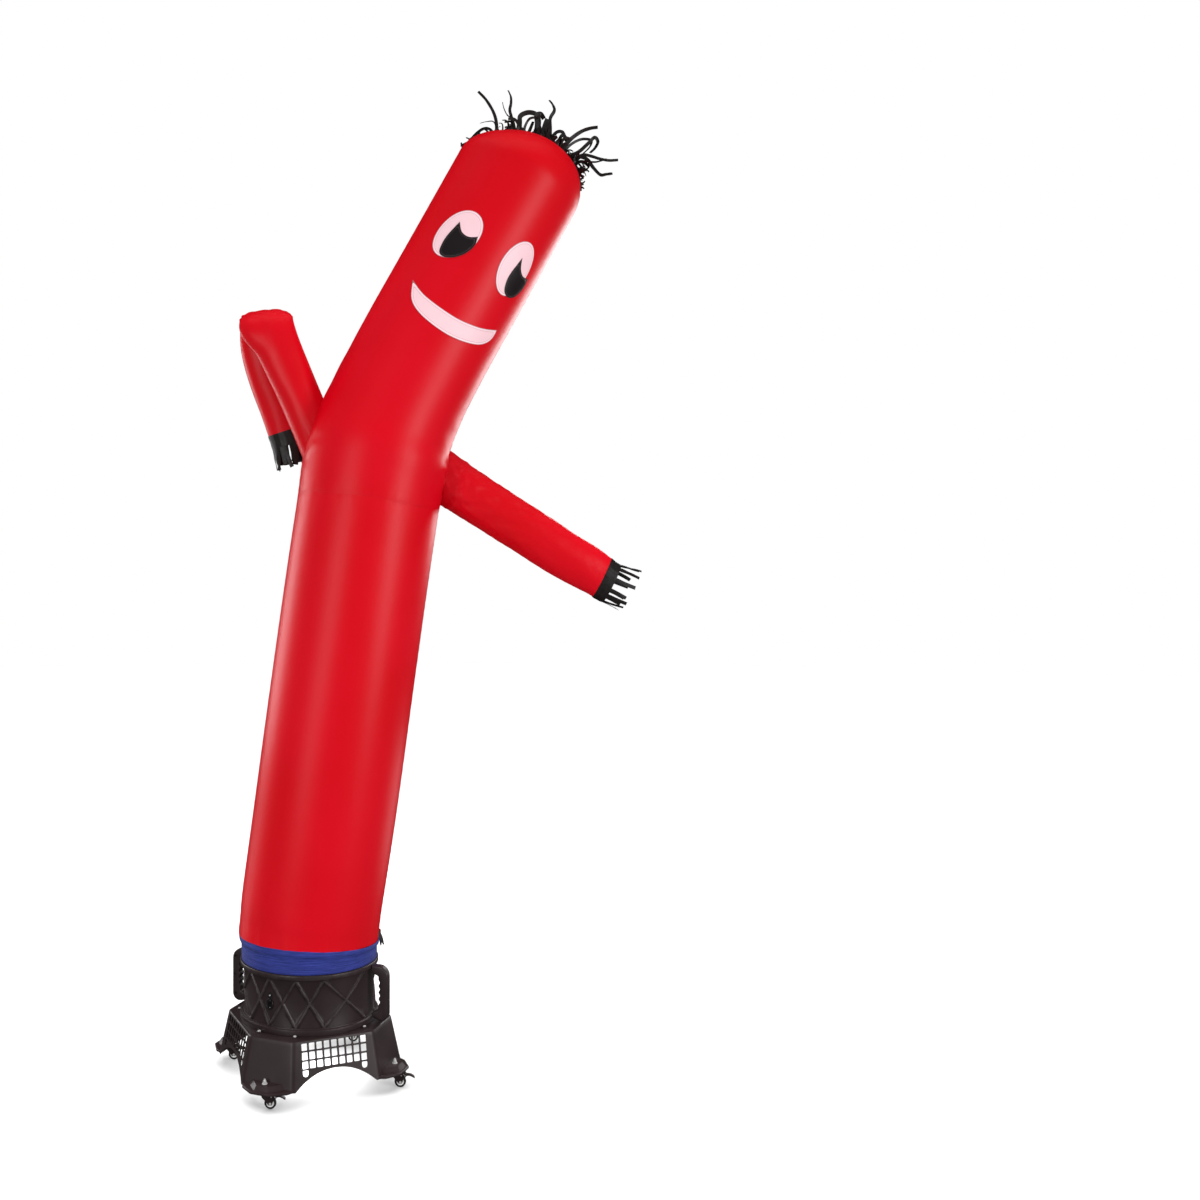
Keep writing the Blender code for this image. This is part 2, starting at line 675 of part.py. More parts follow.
# Skirt: flat sides and corner faces that flare towards the floor.
SIDE_TOP = 0.246
CORNER_TOP = 0.270
FLARE = 0.031 / 0.150
WINDOW_COLUMNS = 9
WINDOW_PITCH = 0.025
WINDOW_WIDE = 0.019
WINDOW_ROWS = ((0.197, 0.175), (0.170, 0.147), (0.1425, 0.121))
END_WINDOW = (0.1165, 0.098)
ARCH_TOP_Z = 0.112
PAD_TOP_Z = 0.078
DRUM_HOLE_R = 0.2165


def side_distance(z):
    return SIDE_TOP + FLARE * (SKIRT_TOP_Z - z)


def corner_distance(z):
    return CORNER_TOP + FLARE * (SKIRT_TOP_Z - z)


def side_half_width(z):
    return corner_distance(z) * math.sqrt(2.0) - side_distance(z)


def side_grid():
    """Columns across one side, each a list of points from the deck to the arch, and its window cells."""
    first = -0.5 * (WINDOW_COLUMNS - 1) * WINDOW_PITCH
    across = [None]
    for i in range(WINDOW_COLUMNS):
        centre = first + i * WINDOW_PITCH
        across += [centre - 0.5 * WINDOW_WIDE, centre + 0.5 * WINDOW_WIDE]
    across.append(None)
    corner_w = side_half_width(SKIRT_BOTTOM_Z)
    heights = [SKIRT_TOP_Z]
    for high, low in WINDOW_ROWS:
        heights += [high, low]
    columns = []
    for i, u in enumerate(across):
        edge = -1.0 if i == 0 else 1.0
        share = 1.0 if u is None else abs(u) / corner_w
        arch = ARCH_TOP_Z - (ARCH_TOP_Z - SKIRT_BOTTOM_Z) * share ** 2
        low = END_WINDOW[1] if share > 0.6 and u is not None else 0.5 * (END_WINDOW[0] + arch)
        if u is None:
            low = PAD_TOP_Z
        zs = heights + [END_WINDOW[0], low, arch]
        columns.append([(edge * side_half_width(z) if u is None else u, z) for z in zs])
    windows = set()
    for c in range(1, len(across) - 1, 2):
        windows |= {(c, 1), (c, 3), (c, 5)}
        if c in (1, len(across) - 3):
            windows.add((c, 7))
    return columns, windows


def make_skirt(finish, holes):
    bm = bmesh.new()
    columns, windows = side_grid()
    deck = []
    edges = []
    for k in range(4):
        side_deg = CORNER_DEG + 45.0 + 90.0 * k
        rows = []
        for column in columns:
            rows.append([bm.verts.new(polar(side_deg, side_distance(z), z, u)) for u, z in column])
        for c, (left, right) in enumerate(zip(rows, rows[1:])):
            for r in range(len(left) - 1):
                if (c, r) not in windows:
                    bm.faces.new((left[r], left[r + 1], right[r + 1], right[r]))
        deck += [row[0] for row in rows]
        edges.append((rows[0], rows[-1]))
    for k in range(4):
        corner_deg = CORNER_DEG + 90.0 * (k + 1)
        left, right = edges[k][1], edges[(k + 1) % 4][0]
        for r in range(len(left) - 2):
            bm.faces.new((left[r], left[r + 1], right[r + 1], right[r]))
        make_foot(bm, corner_deg, left[-2:], right[-2:])
    hole = []
    for v in deck:
        flat = Vector((v.co.x, v.co.y, 0.0)).normalized() * DRUM_HOLE_R
        hole.append(bm.verts.new((flat.x, flat.y, SKIRT_TOP_Z)))
    for i in range(len(deck)):
        j = (i + 1) % len(deck)
        bm.faces.new((deck[i], deck[j], hole[j], hole[i]))
    bmesh.ops.recalc_face_normals(bm, faces=bm.faces)
    top = next(f for f in bm.faces if hole[0] in f.verts)
    if top.normal.z < 0.0:
        bmesh.ops.reverse_faces(bm, faces=bm.faces)
    bmesh.ops.dissolve_limit(bm, angle_limit=math.radians(0.3), verts=bm.verts, edges=bm.edges)
    mesh = bpy.data.meshes.new("skirt")
    bm.to_mesh(mesh)
    bm.free()
    mesh.materials.append(finish)
    skirt = bpy.data.objects.new("skirt", mesh)
    bpy.context.scene.collection.objects.link(skirt)
    skirt.parent = HOME
    shell = skirt.modifiers.new("wall", "SOLIDIFY")
    shell.thickness = WALL
    shell.offset = -1.0
    shell.use_even_offset = True
    subtract(skirt, holes)
    return skirt


PAD_PLAN = ((0.334, 0.060), (0.352, 0.032))     # reach and half width of a foot pad's outer corners


def make_foot(bm, deg, left, right):
    """A hollow pad that stands out from the corner's foot and carries a caster."""
    plan = [(r, -w) for r, w in PAD_PLAN] + [(r, w) for r, w in PAD_PLAN[::-1]]
    top = [bm.verts.new(polar(deg, r, PAD_TOP_Z, w)) for r, w in plan]
    low = [bm.verts.new(polar(deg, r + 0.002, SKIRT_BOTTOM_Z, w * 1.04)) for r, w in plan]
    upper = [left[0], *top, right[0]]
    lower = [left[1], *low, right[1]]
    bm.faces.new(upper)
    for i in range(len(upper) - 1):
        bm.faces.new((upper[i], lower[i], lower[i + 1], upper[i + 1]))


BOLT_HOLE_R = 0.0054


def bolt_holes():
    bm = bmesh.new()
    for k in range(4):
        c = polar(CORNER_DEG + 90.0 * k, CASTER_R, 0.0)
        rings = turned([(BOLT_HOLE_R, PAD_TOP_Z - 0.010), (BOLT_HOLE_R, PAD_TOP_Z + 0.010)], 8)
        bridge(bm, [[Vector(p) + c for p in r] for r in rings], caps=True)
    return cutter("bolt_holes", bm)


HANDLE_HALF = 0.0140
HANDLE_OUT = 0.2930
GRIP_IN = 0.2640
GRIP_LOW_Z = 0.2480
GRIP_HIGH_Z = 0.3640
HANDLE_LOW_Z = 0.2150
HANDLE_HIGH_Z = 0.3960
HANDLE_BEND_LOW = 0.025
HANDLE_BEND_HIGH = 0.032
FINGERS = 4


def handle_outline():
    """(radius, z) round a C-shaped grip with finger scallops on its inside."""
    seat = RING_R + CLEAR + 0.0002
    outline = [(seat, HANDLE_LOW_Z + 0.012), (seat + 0.012, HANDLE_LOW_Z + 0.004)]
    for deg in (-90.0, -60.0, -30.0, 0.0):
        a = math.radians(deg)
        r = HANDLE_BEND_LOW
        outline.append((HANDLE_OUT - r + r * math.cos(a), HANDLE_LOW_Z + r + r * math.sin(a)))
    for deg in (0.0, 30.0, 60.0, 90.0):
        a = math.radians(deg)
        r = HANDLE_BEND_HIGH
        outline.append((HANDLE_OUT - r + r * math.cos(a), HANDLE_HIGH_Z - r + r * math.sin(a)))
    outline += [(seat, HANDLE_HIGH_Z), (seat, 0.3850), (seat + 0.006, GRIP_HIGH_Z + 0.004)]
    outline.append((GRIP_IN - 0.006, GRIP_HIGH_Z))
    pitch = (GRIP_HIGH_Z - GRIP_LOW_Z - 0.020) / FINGERS
    for n in range(2 * FINGERS + 1):
        z = GRIP_HIGH_Z - 0.010 - 0.5 * n * pitch
        outline.append((GRIP_IN + (0.0050 if n % 2 else 0.0), z))
    outline += [(GRIP_IN - 0.006, GRIP_LOW_Z), (seat + 0.004, GRIP_LOW_Z - 0.005), (seat, GRIP_LOW_Z - 0.012)]
    return outline


def make_handle(name, deg, finish):
    bm = bmesh.new()
    along = polar(deg, 0.0, 0.0, 2.0 * HANDLE_HALF)
    extruded(bm, [polar(deg, r, z, -HANDLE_HALF) for r, z in handle_outline()], along)
    return place(name, bm, finish)


def spoked_plate(name, radii, spokes, low_z, thick, finish, sides):
    """A flat plate of rings joined by spokes: a polar grid with its windows left out."""
    bm = bmesh.new()
    per = sides // spokes
    skins = []
    for z in (low_z, low_z + thick):
        skins.append([[bm.verts.new(polar(360.0 * i / sides, r, z)) for i in range(sides)] for r in radii])
    solid = {(r, i) for r in range(len(radii) - 1) for i in range(sides) if r % 2 == 0 or i % per == 0}
    for r, i in solid:
        j = (i + 1) % sides
        for skin in skins:
            bm.faces.new((skin[r][i], skin[r][j], skin[r + 1][j], skin[r + 1][i]))
        low, high = skins
        if r == 0 or (r - 1, i) not in solid:
            bm.faces.new((low[r][i], low[r][j], high[r][j], high[r][i]))
        if (r + 1, i) not in solid:
            bm.faces.new((low[r + 1][i], low[r + 1][j], high[r + 1][j], high[r + 1][i]))
        if (r, (i - 1) % sides) not in solid:
            bm.faces.new((low[r][i], low[r + 1][i], high[r + 1][i], high[r][i]))
        if (r, j) not in solid:
            bm.faces.new((low[r][j], low[r + 1][j], high[r + 1][j], high[r][j]))
    return place(name, bm, finish)


SEAT_IN_DUCT_R = 0.2130      # the widest ring that sits inside the duct's flat-sided wall
MOTOR_R = 0.0700
MOTOR_SIDES = 16
MOUNT_Z = 0.2320
SHAFT_R = 0.0080
FAN_Z = 0.2720
FAN_HUB_R = 0.0500
FAN_TIP_R = 0.2080
BLADES = 5
# Blade sections from the hub out: reach, half chord, half rise, half thickness.
BLADE_SECTIONS = (
    (0.0540, 0.0160, 0.0200, 0.0022),
    (0.1300, 0.0360, 0.0190, 0.0018),
    (FAN_TIP_R, 0.0440, 0.0120, 0.0014),
)


def make_drive(paint):
    """Motor on its spider in the duct, with the fan on its shaft and a guard over the outlet."""
    spoked_plate("motor_mount", (MOTOR_R + CLEAR, 0.0800, 0.2030, SEAT_IN_DUCT_R), 4, MOUNT_Z, 0.008,
                 paint["black_plastic"], MOTOR_SIDES)
    collar_z = MOUNT_Z + 0.008 + CLEAR
    profile = [(0.030, 0.128), (0.060, 0.132), (MOTOR_R, 0.142), (MOTOR_R, collar_z), (0.0785, collar_z),
               (0.0785, collar_z + 0.006), (0.060, collar_z + 0.010), (0.0200, 0.2560), (SHAFT_R, 0.2560),
               (SHAFT_R, 0.3400)]
    turned_piece("motor", profile, MOTOR_SIDES, paint["motor"], solid=True)
    make_fan(paint["fan"])
    spoked_plate("outlet_guard", (0.0500, 0.0550, 0.1270, 0.1310, 0.2070, SEAT_IN_DUCT_R), 4,
                 0.4700, 0.003, paint["black_plastic"], 20)


def make_fan(finish):
    """Five pitched blades drawn out of the sides of a ten-sided hub, in one moulding."""
    sides = 2 * BLADES
    bore = (SHAFT_R + CLEAR) / math.cos(math.pi / sides)
    profile = [(bore, FAN_Z), (FAN_HUB_R, FAN_Z), (FAN_HUB_R, FAN_Z + 0.045), (bore, FAN_Z + 0.045)]
    bm = bmesh.new()
    rows = bridge(bm, turned(profile, sides), loop=True)
    for k in range(0, sides, 2):
        root = [rows[1][k], rows[1][k + 1], rows[2][k + 1], rows[2][k]]
        bm.faces.remove(next(f for f in root[0].link_faces if root[1] in f.verts and root[2] in f.verts))
        outward = sum((v.co for v in root), Vector()) / 4.0
        outward.z = 0.0
        outward.normalize()
        tangent = root[1].co - root[0].co
        tangent.normalize()
        for reach, half_chord, half_rise, half_thick in BLADE_SECTIONS:
            centre = outward * reach + Vector((0.0, 0.0, FAN_Z + 0.0225))
            chord = tangent * half_chord + Vector((0.0, 0.0, half_rise))
            thick = (Vector((0.0, 0.0, half_chord)) - tangent * half_rise).normalized() * half_thick
            tip = [bm.verts.new(p) for p in (centre - chord - thick, centre + chord - thick,
                                             centre + chord + thick, centre - chord + thick)]
            for i in range(4):
                j = (i + 1) % 4
                bm.faces.new((root[i], root[j], tip[j], tip[i]))
            root = tip
        bm.faces.new(root)
    return place("fan_rotor", bm, finish)


TETHER_DEG = CORNER_DEG - 8.9
TETHER_R = 0.2197
TETHER_HALF = 0.00675


def make_tether(paint):
    """An anchor plate with a bridge, and a D-ring hung in the bridge."""
    plate = 0.0015
    # Down the plate's back: how far it stands out, its height, and how far its face leads it there.
    line = [
        (0.0, 0.3320, 0.0),
        (0.0, 0.3130, 0.0008),
        (0.0052, 0.3110, 0.0008),
        (0.0052, 0.3030, -0.0008),
        (0.0, 0.3010, -0.0008),
        (0.0, 0.2780, 0.0),
    ]
    outline = [(TETHER_R + out + plate, z + lead) for out, z, lead in line]
    outline += [(TETHER_R + out, z) for out, z, _ in line[::-1]]
    bm = bmesh.new()
    along = polar(TETHER_DEG, 0.0, 0.0, 2.0 * TETHER_HALF)
    extruded(bm, [polar(TETHER_DEG, r, z, -TETHER_HALF) for r, z in outline], along)
    place("tether_plate", bm, paint["black_steel"])
    wire = 0.0014
    path = [(-0.0085, 0.3070), (0.0085, 0.3070), (0.0120, 0.3035), (0.0125, 0.2960), (0.0088, 0.2872),
            (0.0, 0.2835), (-0.0088, 0.2872), (-0.0125, 0.2960), (-0.0120, 0.3035)]
    rings = []
    lean_out = 0.0030
    for i, (u, z) in enumerate(path):
        before, after = path[i - 1], path[(i + 1) % len(path)]
        run = Vector((after[0] - before[0], after[1] - before[1])).normalized()
        side = Vector((-run.y, run.x))
        out = lean_out + (0.0012 if z < 0.3000 else 0.0)
        rings.append([
            polar(TETHER_DEG, TETHER_R + out + wire * math.sin(a), z + side.y * wire * math.cos(a),
                  u + side.x * wire * math.cos(a))
            for a in (math.tau * k / 6 for k in range(6))
        ])
    bm = bmesh.new()
    bridge(bm, rings, loop=True)
    return place("tether_ring", bm, paint["black_steel"])


TRAIL = 0.018            # how far the axle trails behind the swivel, towards +X
FORK_TOP_Z = 0.0497
FORK_PLATE_Z = 0.0445
WHEEL_HALF = 0.0070
PEDAL_PIVOT = (0.0330, 0.0400)     # behind the swivel, and height


def make_caster(k, paint):
    centre = polar(CORNER_DEG + 90.0 * k, CASTER_R, 0.0)
    n = k + 1
    pad_low = PAD_TOP_Z - WALL - CLEAR
    bolt = [
        (0.0068, 0.0415),
        (0.0068, FORK_PLATE_Z - CLEAR),
        (0.0046, FORK_PLATE_Z - CLEAR),
        (0.0046, FORK_TOP_Z + CLEAR),
        (0.0120, FORK_TOP_Z + CLEAR),
        (0.0120, pad_low),
        (0.0046, pad_low),
        (0.0046, PAD_TOP_Z + CLEAR),
        (0.0085, PAD_TOP_Z + CLEAR),
        (0.0085, 0.0870),
    ]
    turned_piece(f"caster_bolt_{n}", bolt, 8, paint["steel"], centre, solid=True)
    make_fork(f"caster_fork_{n}", centre, paint["black_plastic"])
    axle = centre + Vector((TRAIL, 0.0, AXLE_Z))
    make_wheel_ring(f"caster_tyre_{n}", TYRE_PROFILE, 16, axle, paint["tyre"])
    make_wheel_ring(f"caster_hub_{n}", HUB_PROFILE, 12, axle, paint["white"])
    bm = bmesh.new()
    rod(bm, AXLE_R, CHEEK_OUT - 0.0004)
    place(f"caster_axle_{n}", bm, paint["steel"], at=axle)
    make_pedal(f"caster_pedal_{n}", centre, paint["black_plastic"])


# Wheel profiles: radius across the flats, and distance along the axle.
TYRE_PROFILE = [
    (0.0126, WHEEL_HALF),
    (0.0180, WHEEL_HALF),
    (AXLE_Z, WHEEL_HALF - 0.0015),
    (AXLE_Z, 0.0015 - WHEEL_HALF),
    (0.0180, -WHEEL_HALF),
    (0.0126, -WHEEL_HALF),
]
HUB_PROFILE = [
    (0.0036, WHEEL_HALF),
    (0.0118, WHEEL_HALF),
    (0.0118, -WHEEL_HALF),
    (0.0036, -WHEEL_HALF),
]


def make_wheel_ring(name, profile, sides, axle, finish):
    """A ring about an axle along Y, with one flat side down."""
    bm = bmesh.new()
    half = math.pi / sides
    angles = [half + math.tau * i / sides for i in range(sides)]
    grow = 1.0 / math.cos(half)
    rings = [[(r * grow * math.sin(a), y, -r * grow * math.cos(a)) for a in angles] for r, y in profile]
    bridge(bm, rings, loop=True)
    return place(name, bm, finish, at=axle)


CHEEK_IN = 0.0080
CHEEK_OUT = 0.0105
AXLE_R = 0.0030
PIN_R = 0.0020
HOLE_PLAY = 0.0005
SWIVEL_HOLE_R = 0.0054
# Side outlines from the swivel's axis: x behind it, and z.
CHEEK = [
    (-0.0100, FORK_TOP_Z),
    (0.0260, FORK_TOP_Z),
    (0.0385, 0.0450),
    (0.0385, 0.0365),
    (0.0300, 0.0320),
    (0.0245, 0.0135),
    (0.0115, 0.0135),
    (-0.0040, 0.0330),
    (-0.0100, 0.0420),
]
PEDAL = [
    (0.0270, 0.0425),
    (0.0360, 0.0432),
    (0.0480, 0.0430),
    (0.0620, 0.0370),
    (0.0665, 0.0310),
    (0.0640, 0.0300),
    (0.0580, 0.0340),
    (0.0460, 0.0385),
    (0.0400, 0.0378),
    (0.0350, 0.0372),
    (0.0290, 0.0392),
]


def make_fork(name, centre, finish):
    """A pressed fork: a top plate with the swivel hole, and two cheeks with the axle and pedal holes."""
    bm = bmesh.new()
    extruded(bm, [Vector((x, -CHEEK_OUT, z)) for x, z in CHEEK], Vector((0.0, 2.0 * CHEEK_OUT, 0.0)))
    fork = place(name, bm, finish, at=centre)
    bm = bmesh.new()
    slot = [(-0.020, 0.0), (0.050, 0.0), (0.050, FORK_PLATE_Z), (-0.020, FORK_PLATE_Z)]
    extruded(bm, [Vector((x, -CHEEK_IN, z)) for x, z in slot], Vector((0.0, 2.0 * CHEEK_IN, 0.0)))
    subtract(fork, cutter(name + "_slot", bm, centre))
    bm = bmesh.new()
    swivel = [(SWIVEL_HOLE_R, FORK_PLATE_Z - 0.010), (SWIVEL_HOLE_R, FORK_TOP_Z + 0.010)]
    bridge(bm, turned(swivel, 8), caps=True)
    subtract(fork, cutter(name + "_swivel", bm, centre))
    bm = bmesh.new()
    rod(bm, AXLE_R + HOLE_PLAY, 2.0 * CHEEK_OUT, TRAIL, AXLE_Z)
    rod(bm, PIN_R + HOLE_PLAY, 2.0 * CHEEK_OUT, *PEDAL_PIVOT)
    subtract(fork, cutter(name + "_pins", bm, centre))
    return fork


def make_pedal(name, centre, finish):
    """A brake pedal that rocks on a pin between the fork's cheeks, with its toe out behind the wheel."""
    px, pz = PEDAL_PIVOT
    pivot = centre + Vector((px, 0.0, pz))
    half = CHEEK_IN - 0.0005
    bm = bmesh.new()
    extruded(bm, [Vector((x - px, -half, z - pz)) for x, z in PEDAL], Vector((0.0, 2.0 * half, 0.0)))
    pedal = place(name, bm, finish, at=pivot)
    bm = bmesh.new()
    rod(bm, PIN_R, CHEEK_OUT - 0.0004)
    join = pedal.modifiers.new("pin", "BOOLEAN")
    join.operation = "UNION"
    join.object = cutter(name + "_pin", bm, pivot)
    return pedal


def make_blower(paint):
    make_drum(paint["black_plastic"])
    tape = [(0.2257, 0.4055), (0.2267, 0.4055), (0.2267, 0.4545), (0.2257, 0.4545)]
    turned_piece("hook_tape", tape, BAND_SIDES, paint["black"])
    make_skirt(paint["black_plastic"], bolt_holes())
    make_handle("handle_right", CORNER_DEG + 90.0, paint["black_plastic"])
    make_handle("handle_left", CORNER_DEG - 90.0, paint["black_plastic"])
    make_drive(paint)
    make_tether(paint)
    for k in range(4):
        make_caster(k, paint)


def main():
    start_clean()
    paint = {
        "red": material("red_nylon", (0.66, 0.0, 0.012), 0.38),
        "blue": material("blue_band", (0.035, 0.055, 0.36), 0.55),
        "black": material("black_cloth", (0.012, 0.010, 0.010), 0.60),
        "white": material("white_cloth", (0.90, 0.78, 0.80), 0.50),
        "black_plastic": material("black_moulding", (0.022, 0.020, 0.021), 0.42),
        "steel": material("plated_steel", (0.62, 0.62, 0.62), 0.28, 1.0),
        "black_steel": material("black_steel", (0.06, 0.06, 0.06), 0.35, 0.8),
        "motor": material("motor_case", (0.05, 0.05, 0.055), 0.45, 0.6),
        "fan": material("fan_plastic", (0.03, 0.03, 0.03), 0.45),
        "tyre": material("tyre_rubber", (0.010, 0.010, 0.010), 0.70),
    }
    make_dancer(paint)
    make_blower(paint)


main()
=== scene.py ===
"""The air dancer on its blower, finished piece by piece.

Every piece's object stays at the origin with its place in its mesh, in metres, +Z up. The blower's upright
axis is at AXIS, and sizes are given about that axis. Cloth is laid out as rows of points. Fittings are shaped
from primitives in edit mode, and mouldings that primitives can't give are laid out as rows of points too.
"""

import math
import random

import bmesh
import bpy
from mathutils import Matrix, Vector, noise
from mathutils.bvhtree import BVHTree
from mathutils.geometry import delaunay_2d_cdt


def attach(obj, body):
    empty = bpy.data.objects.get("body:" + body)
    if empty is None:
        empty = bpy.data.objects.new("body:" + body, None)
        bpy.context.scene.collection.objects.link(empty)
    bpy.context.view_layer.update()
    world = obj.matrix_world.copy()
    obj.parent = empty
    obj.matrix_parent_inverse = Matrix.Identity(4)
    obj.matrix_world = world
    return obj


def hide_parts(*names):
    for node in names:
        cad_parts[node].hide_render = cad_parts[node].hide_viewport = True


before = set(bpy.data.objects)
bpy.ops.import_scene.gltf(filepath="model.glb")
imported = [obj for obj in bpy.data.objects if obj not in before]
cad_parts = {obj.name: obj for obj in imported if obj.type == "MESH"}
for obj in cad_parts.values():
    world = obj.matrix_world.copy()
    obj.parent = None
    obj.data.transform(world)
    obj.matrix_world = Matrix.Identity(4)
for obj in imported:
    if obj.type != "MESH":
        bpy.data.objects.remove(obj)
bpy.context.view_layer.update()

AXIS = Vector((-0.4104, 0.0, 0.0))
MM = 0.001


# ---- working in object and edit mode ----
def clear_selection():
    bpy.ops.object.select_all(action="DESELECT")


def select_only(piece):
    clear_selection()
    piece.select_set(True)
    bpy.context.view_layer.objects.active = piece


def pick(piece, kind, wanted):
    """In edit mode, select just the vertices, edges or faces that are wanted."""
    bpy.ops.mesh.select_mode(type=kind)
    bpy.ops.mesh.select_all(action="DESELECT")
    work = bmesh.from_edit_mesh(piece.data)
    for part in {"VERT": work.verts, "EDGE": work.edges, "FACE": work.faces}[kind]:
        if wanted(part):
            part.select_set(True)
    if kind == "VERT":
        work.select_flush(True)
    bmesh.update_edit_mesh(piece.data)


def start_edit(piece, kind="FACE", wanted=lambda part: True):
    select_only(piece)
    bpy.ops.object.mode_set(mode="EDIT")
    pick(piece, kind, wanted)


def end_edit(fix_normals=False):
    if fix_normals:
        bpy.ops.mesh.select_all(action="SELECT")
        bpy.ops.mesh.remove_doubles(threshold=0.00001)
        bpy.ops.mesh.normals_make_consistent(inside=False)
    bpy.ops.object.mode_set(mode="OBJECT")


def modify(piece, kind, **settings):
    """Add a modifier and apply it."""
    select_only(piece)
    step = piece.modifiers.new(kind.lower(), kind)
    for key, value in settings.items():
        setattr(step, key, value)
    bpy.ops.object.modifier_apply(modifier=step.name)
    return piece


def bevel(piece, width, segments=2, angle=35.0):
    return modify(piece, "BEVEL", width=width, segments=segments, limit_method="ANGLE",
                  angle_limit=math.radians(angle), harden_normals=False)


def subtract(piece, guide):
    """Cut one piece with another, and throw the cutter away."""
    modify(piece, "BOOLEAN", operation="DIFFERENCE", object=guide, solver="EXACT")
    bpy.data.objects.remove(guide, do_unlink=True)
    return piece


def join(name, pieces):
    select_only(pieces[0])
    for piece in pieces[1:]:
        piece.select_set(True)
    if len(pieces) > 1:
        bpy.ops.object.join()
    whole = bpy.context.view_layer.objects.active
    whole.name = name
    return whole


def twin(piece, name, matrix):
    """A copy with its own mesh, moved by its mesh."""
    copy = piece.copy()
    copy.data = piece.data.copy()
    copy.name = name
    copy.data.transform(matrix)
    bpy.context.scene.collection.objects.link(copy)
    return copy


def shift(piece, offset):
    piece.data.transform(Matrix.Translation(offset))
    return piece


def settle(piece):
    """Put the object's own place, turn and scale into its mesh."""
    select_only(piece)
    bpy.ops.object.transform_apply(location=True, rotation=True, scale=True)
    return piece


def smooth(piece, degrees=32.0):
    select_only(piece)
    bpy.ops.object.shade_smooth_by_angle(angle=math.radians(degrees))
    return piece


def outline_face(name, points):
    """A flat face with its corners dragged to the given points."""
    clear_selection()
    bpy.ops.mesh.primitive_circle_add(vertices=len(points), radius=0.1, fill_type="NGON")
    piece = bpy.context.active_object
    piece.name = name
    for corner, point in zip(piece.data.vertices, points):
        corner.co = point
    return piece


def prism(name, points, along):
    """An outline extruded along a vector."""
    piece = outline_face(name, points)
    start_edit(piece)
    bpy.ops.mesh.extrude_region_move(TRANSFORM_OT_translate={"value": along})
    end_edit(fix_normals=True)
    return piece


def spun(name, profile, steps, axis="Z"):
    """A (radius, height) profile spun once round Z, or round Y with heights along Y."""
    clear_selection()
    bpy.ops.mesh.primitive_circle_add(vertices=len(profile), radius=0.1, fill_type="NOTHING")
    piece = bpy.context.active_object
    piece.name = name
    for corner, (radius, height) in zip(piece.data.vertices, profile):
        corner.co = (radius, 0.0, height) if axis == "Z" else (radius, height, 0.0)
    start_edit(piece, "VERT")
    turn = (0.0, 0.0, 1.0) if axis == "Z" else (0.0, 1.0, 0.0)
    bpy.ops.mesh.spin(steps=steps, angle=math.tau, center=(0.0, 0.0, 0.0), axis=turn, dupli=False)
    end_edit(fix_normals=True)
    return piece


def polar(degrees, radius, z, aside=0.0):
    """A point at an angle from -Y towards +X, stepped aside along the tangent."""
    a = math.radians(degrees)
    outward = Vector((math.sin(a), -math.cos(a), 0.0))
    along = Vector((math.cos(a), math.sin(a), 0.0))
    return outward * radius + along * aside + Vector((0.0, 0.0, z))


def spread(low, high, count):
    return [low + (high - low) * i / (count - 1) for i in range(count)]


def catmull(rows, count):
    """Read a smooth curve through equal-length rows at count points."""
    last = len(rows) - 1
    out = []
    for n in range(count):
        s = last * n / (count - 1)
        i = min(int(s), last - 1)
        t = s - i
        p0, p1, p2, p3 = (rows[max(0, min(last, i + k))] for k in (-1, 0, 1, 2))
        out.append([
            b + 0.5 * t * (c - a + t * (2 * a - 5 * b + 4 * c - d + t * (3 * b - a - 3 * c + d)))
            for a, b, c, d in zip(p0, p1, p2, p3)
        ])
    return out


def ease(value, low, high):
    """0 below low, 1 above high, smooth between."""
    t = max(0.0, min(1.0, (value - low) / (high - low)))
    return t * t * (3.0 - 2.0 * t)


# ---- shader sums ----
class Value:
    """A number socket that adds, multiplies and compares like a number."""

    def __init__(self, paint, socket):
        self.paint = paint
        self.socket = socket

    def math(self, operation, *others):
        return self.paint.node("ShaderNodeMath", {"operation": operation}, [self, *others])

    def __add__(self, other):
        return self.math("ADD", other)

    __radd__ = __add__

    def __sub__(self, other):
        return self.math("SUBTRACT", other)

    def __rsub__(self, other):
        return self.math("MULTIPLY_ADD", -1.0, other)

    def __mul__(self, other):
        return self.math("MULTIPLY", other)

    __rmul__ = __mul__

    def __truediv__(self, other):
        return self.math("DIVIDE", other)

    def __lt__(self, other):
        return self.math("LESS_THAN", other)

    def __gt__(self, other):
        return self.math("GREATER_THAN", other)

    def sine(self):
        return self.math("SINE")

    def size(self):
        return self.math("ABSOLUTE")

    def remainder(self):
        return self.math("FRACT")

    def near(self, centre, half):
        """1 within half of a centre, 0 outside."""
        return (self - centre).size() < half

    def ramp(self, low, high):
        """0 below low, 1 above high, smooth between."""
        return self.paint.node("ShaderNodeMapRange", {"interpolation_type": "SMOOTHSTEP"},
                               {"Value": self, "From Min": low, "From Max": high})


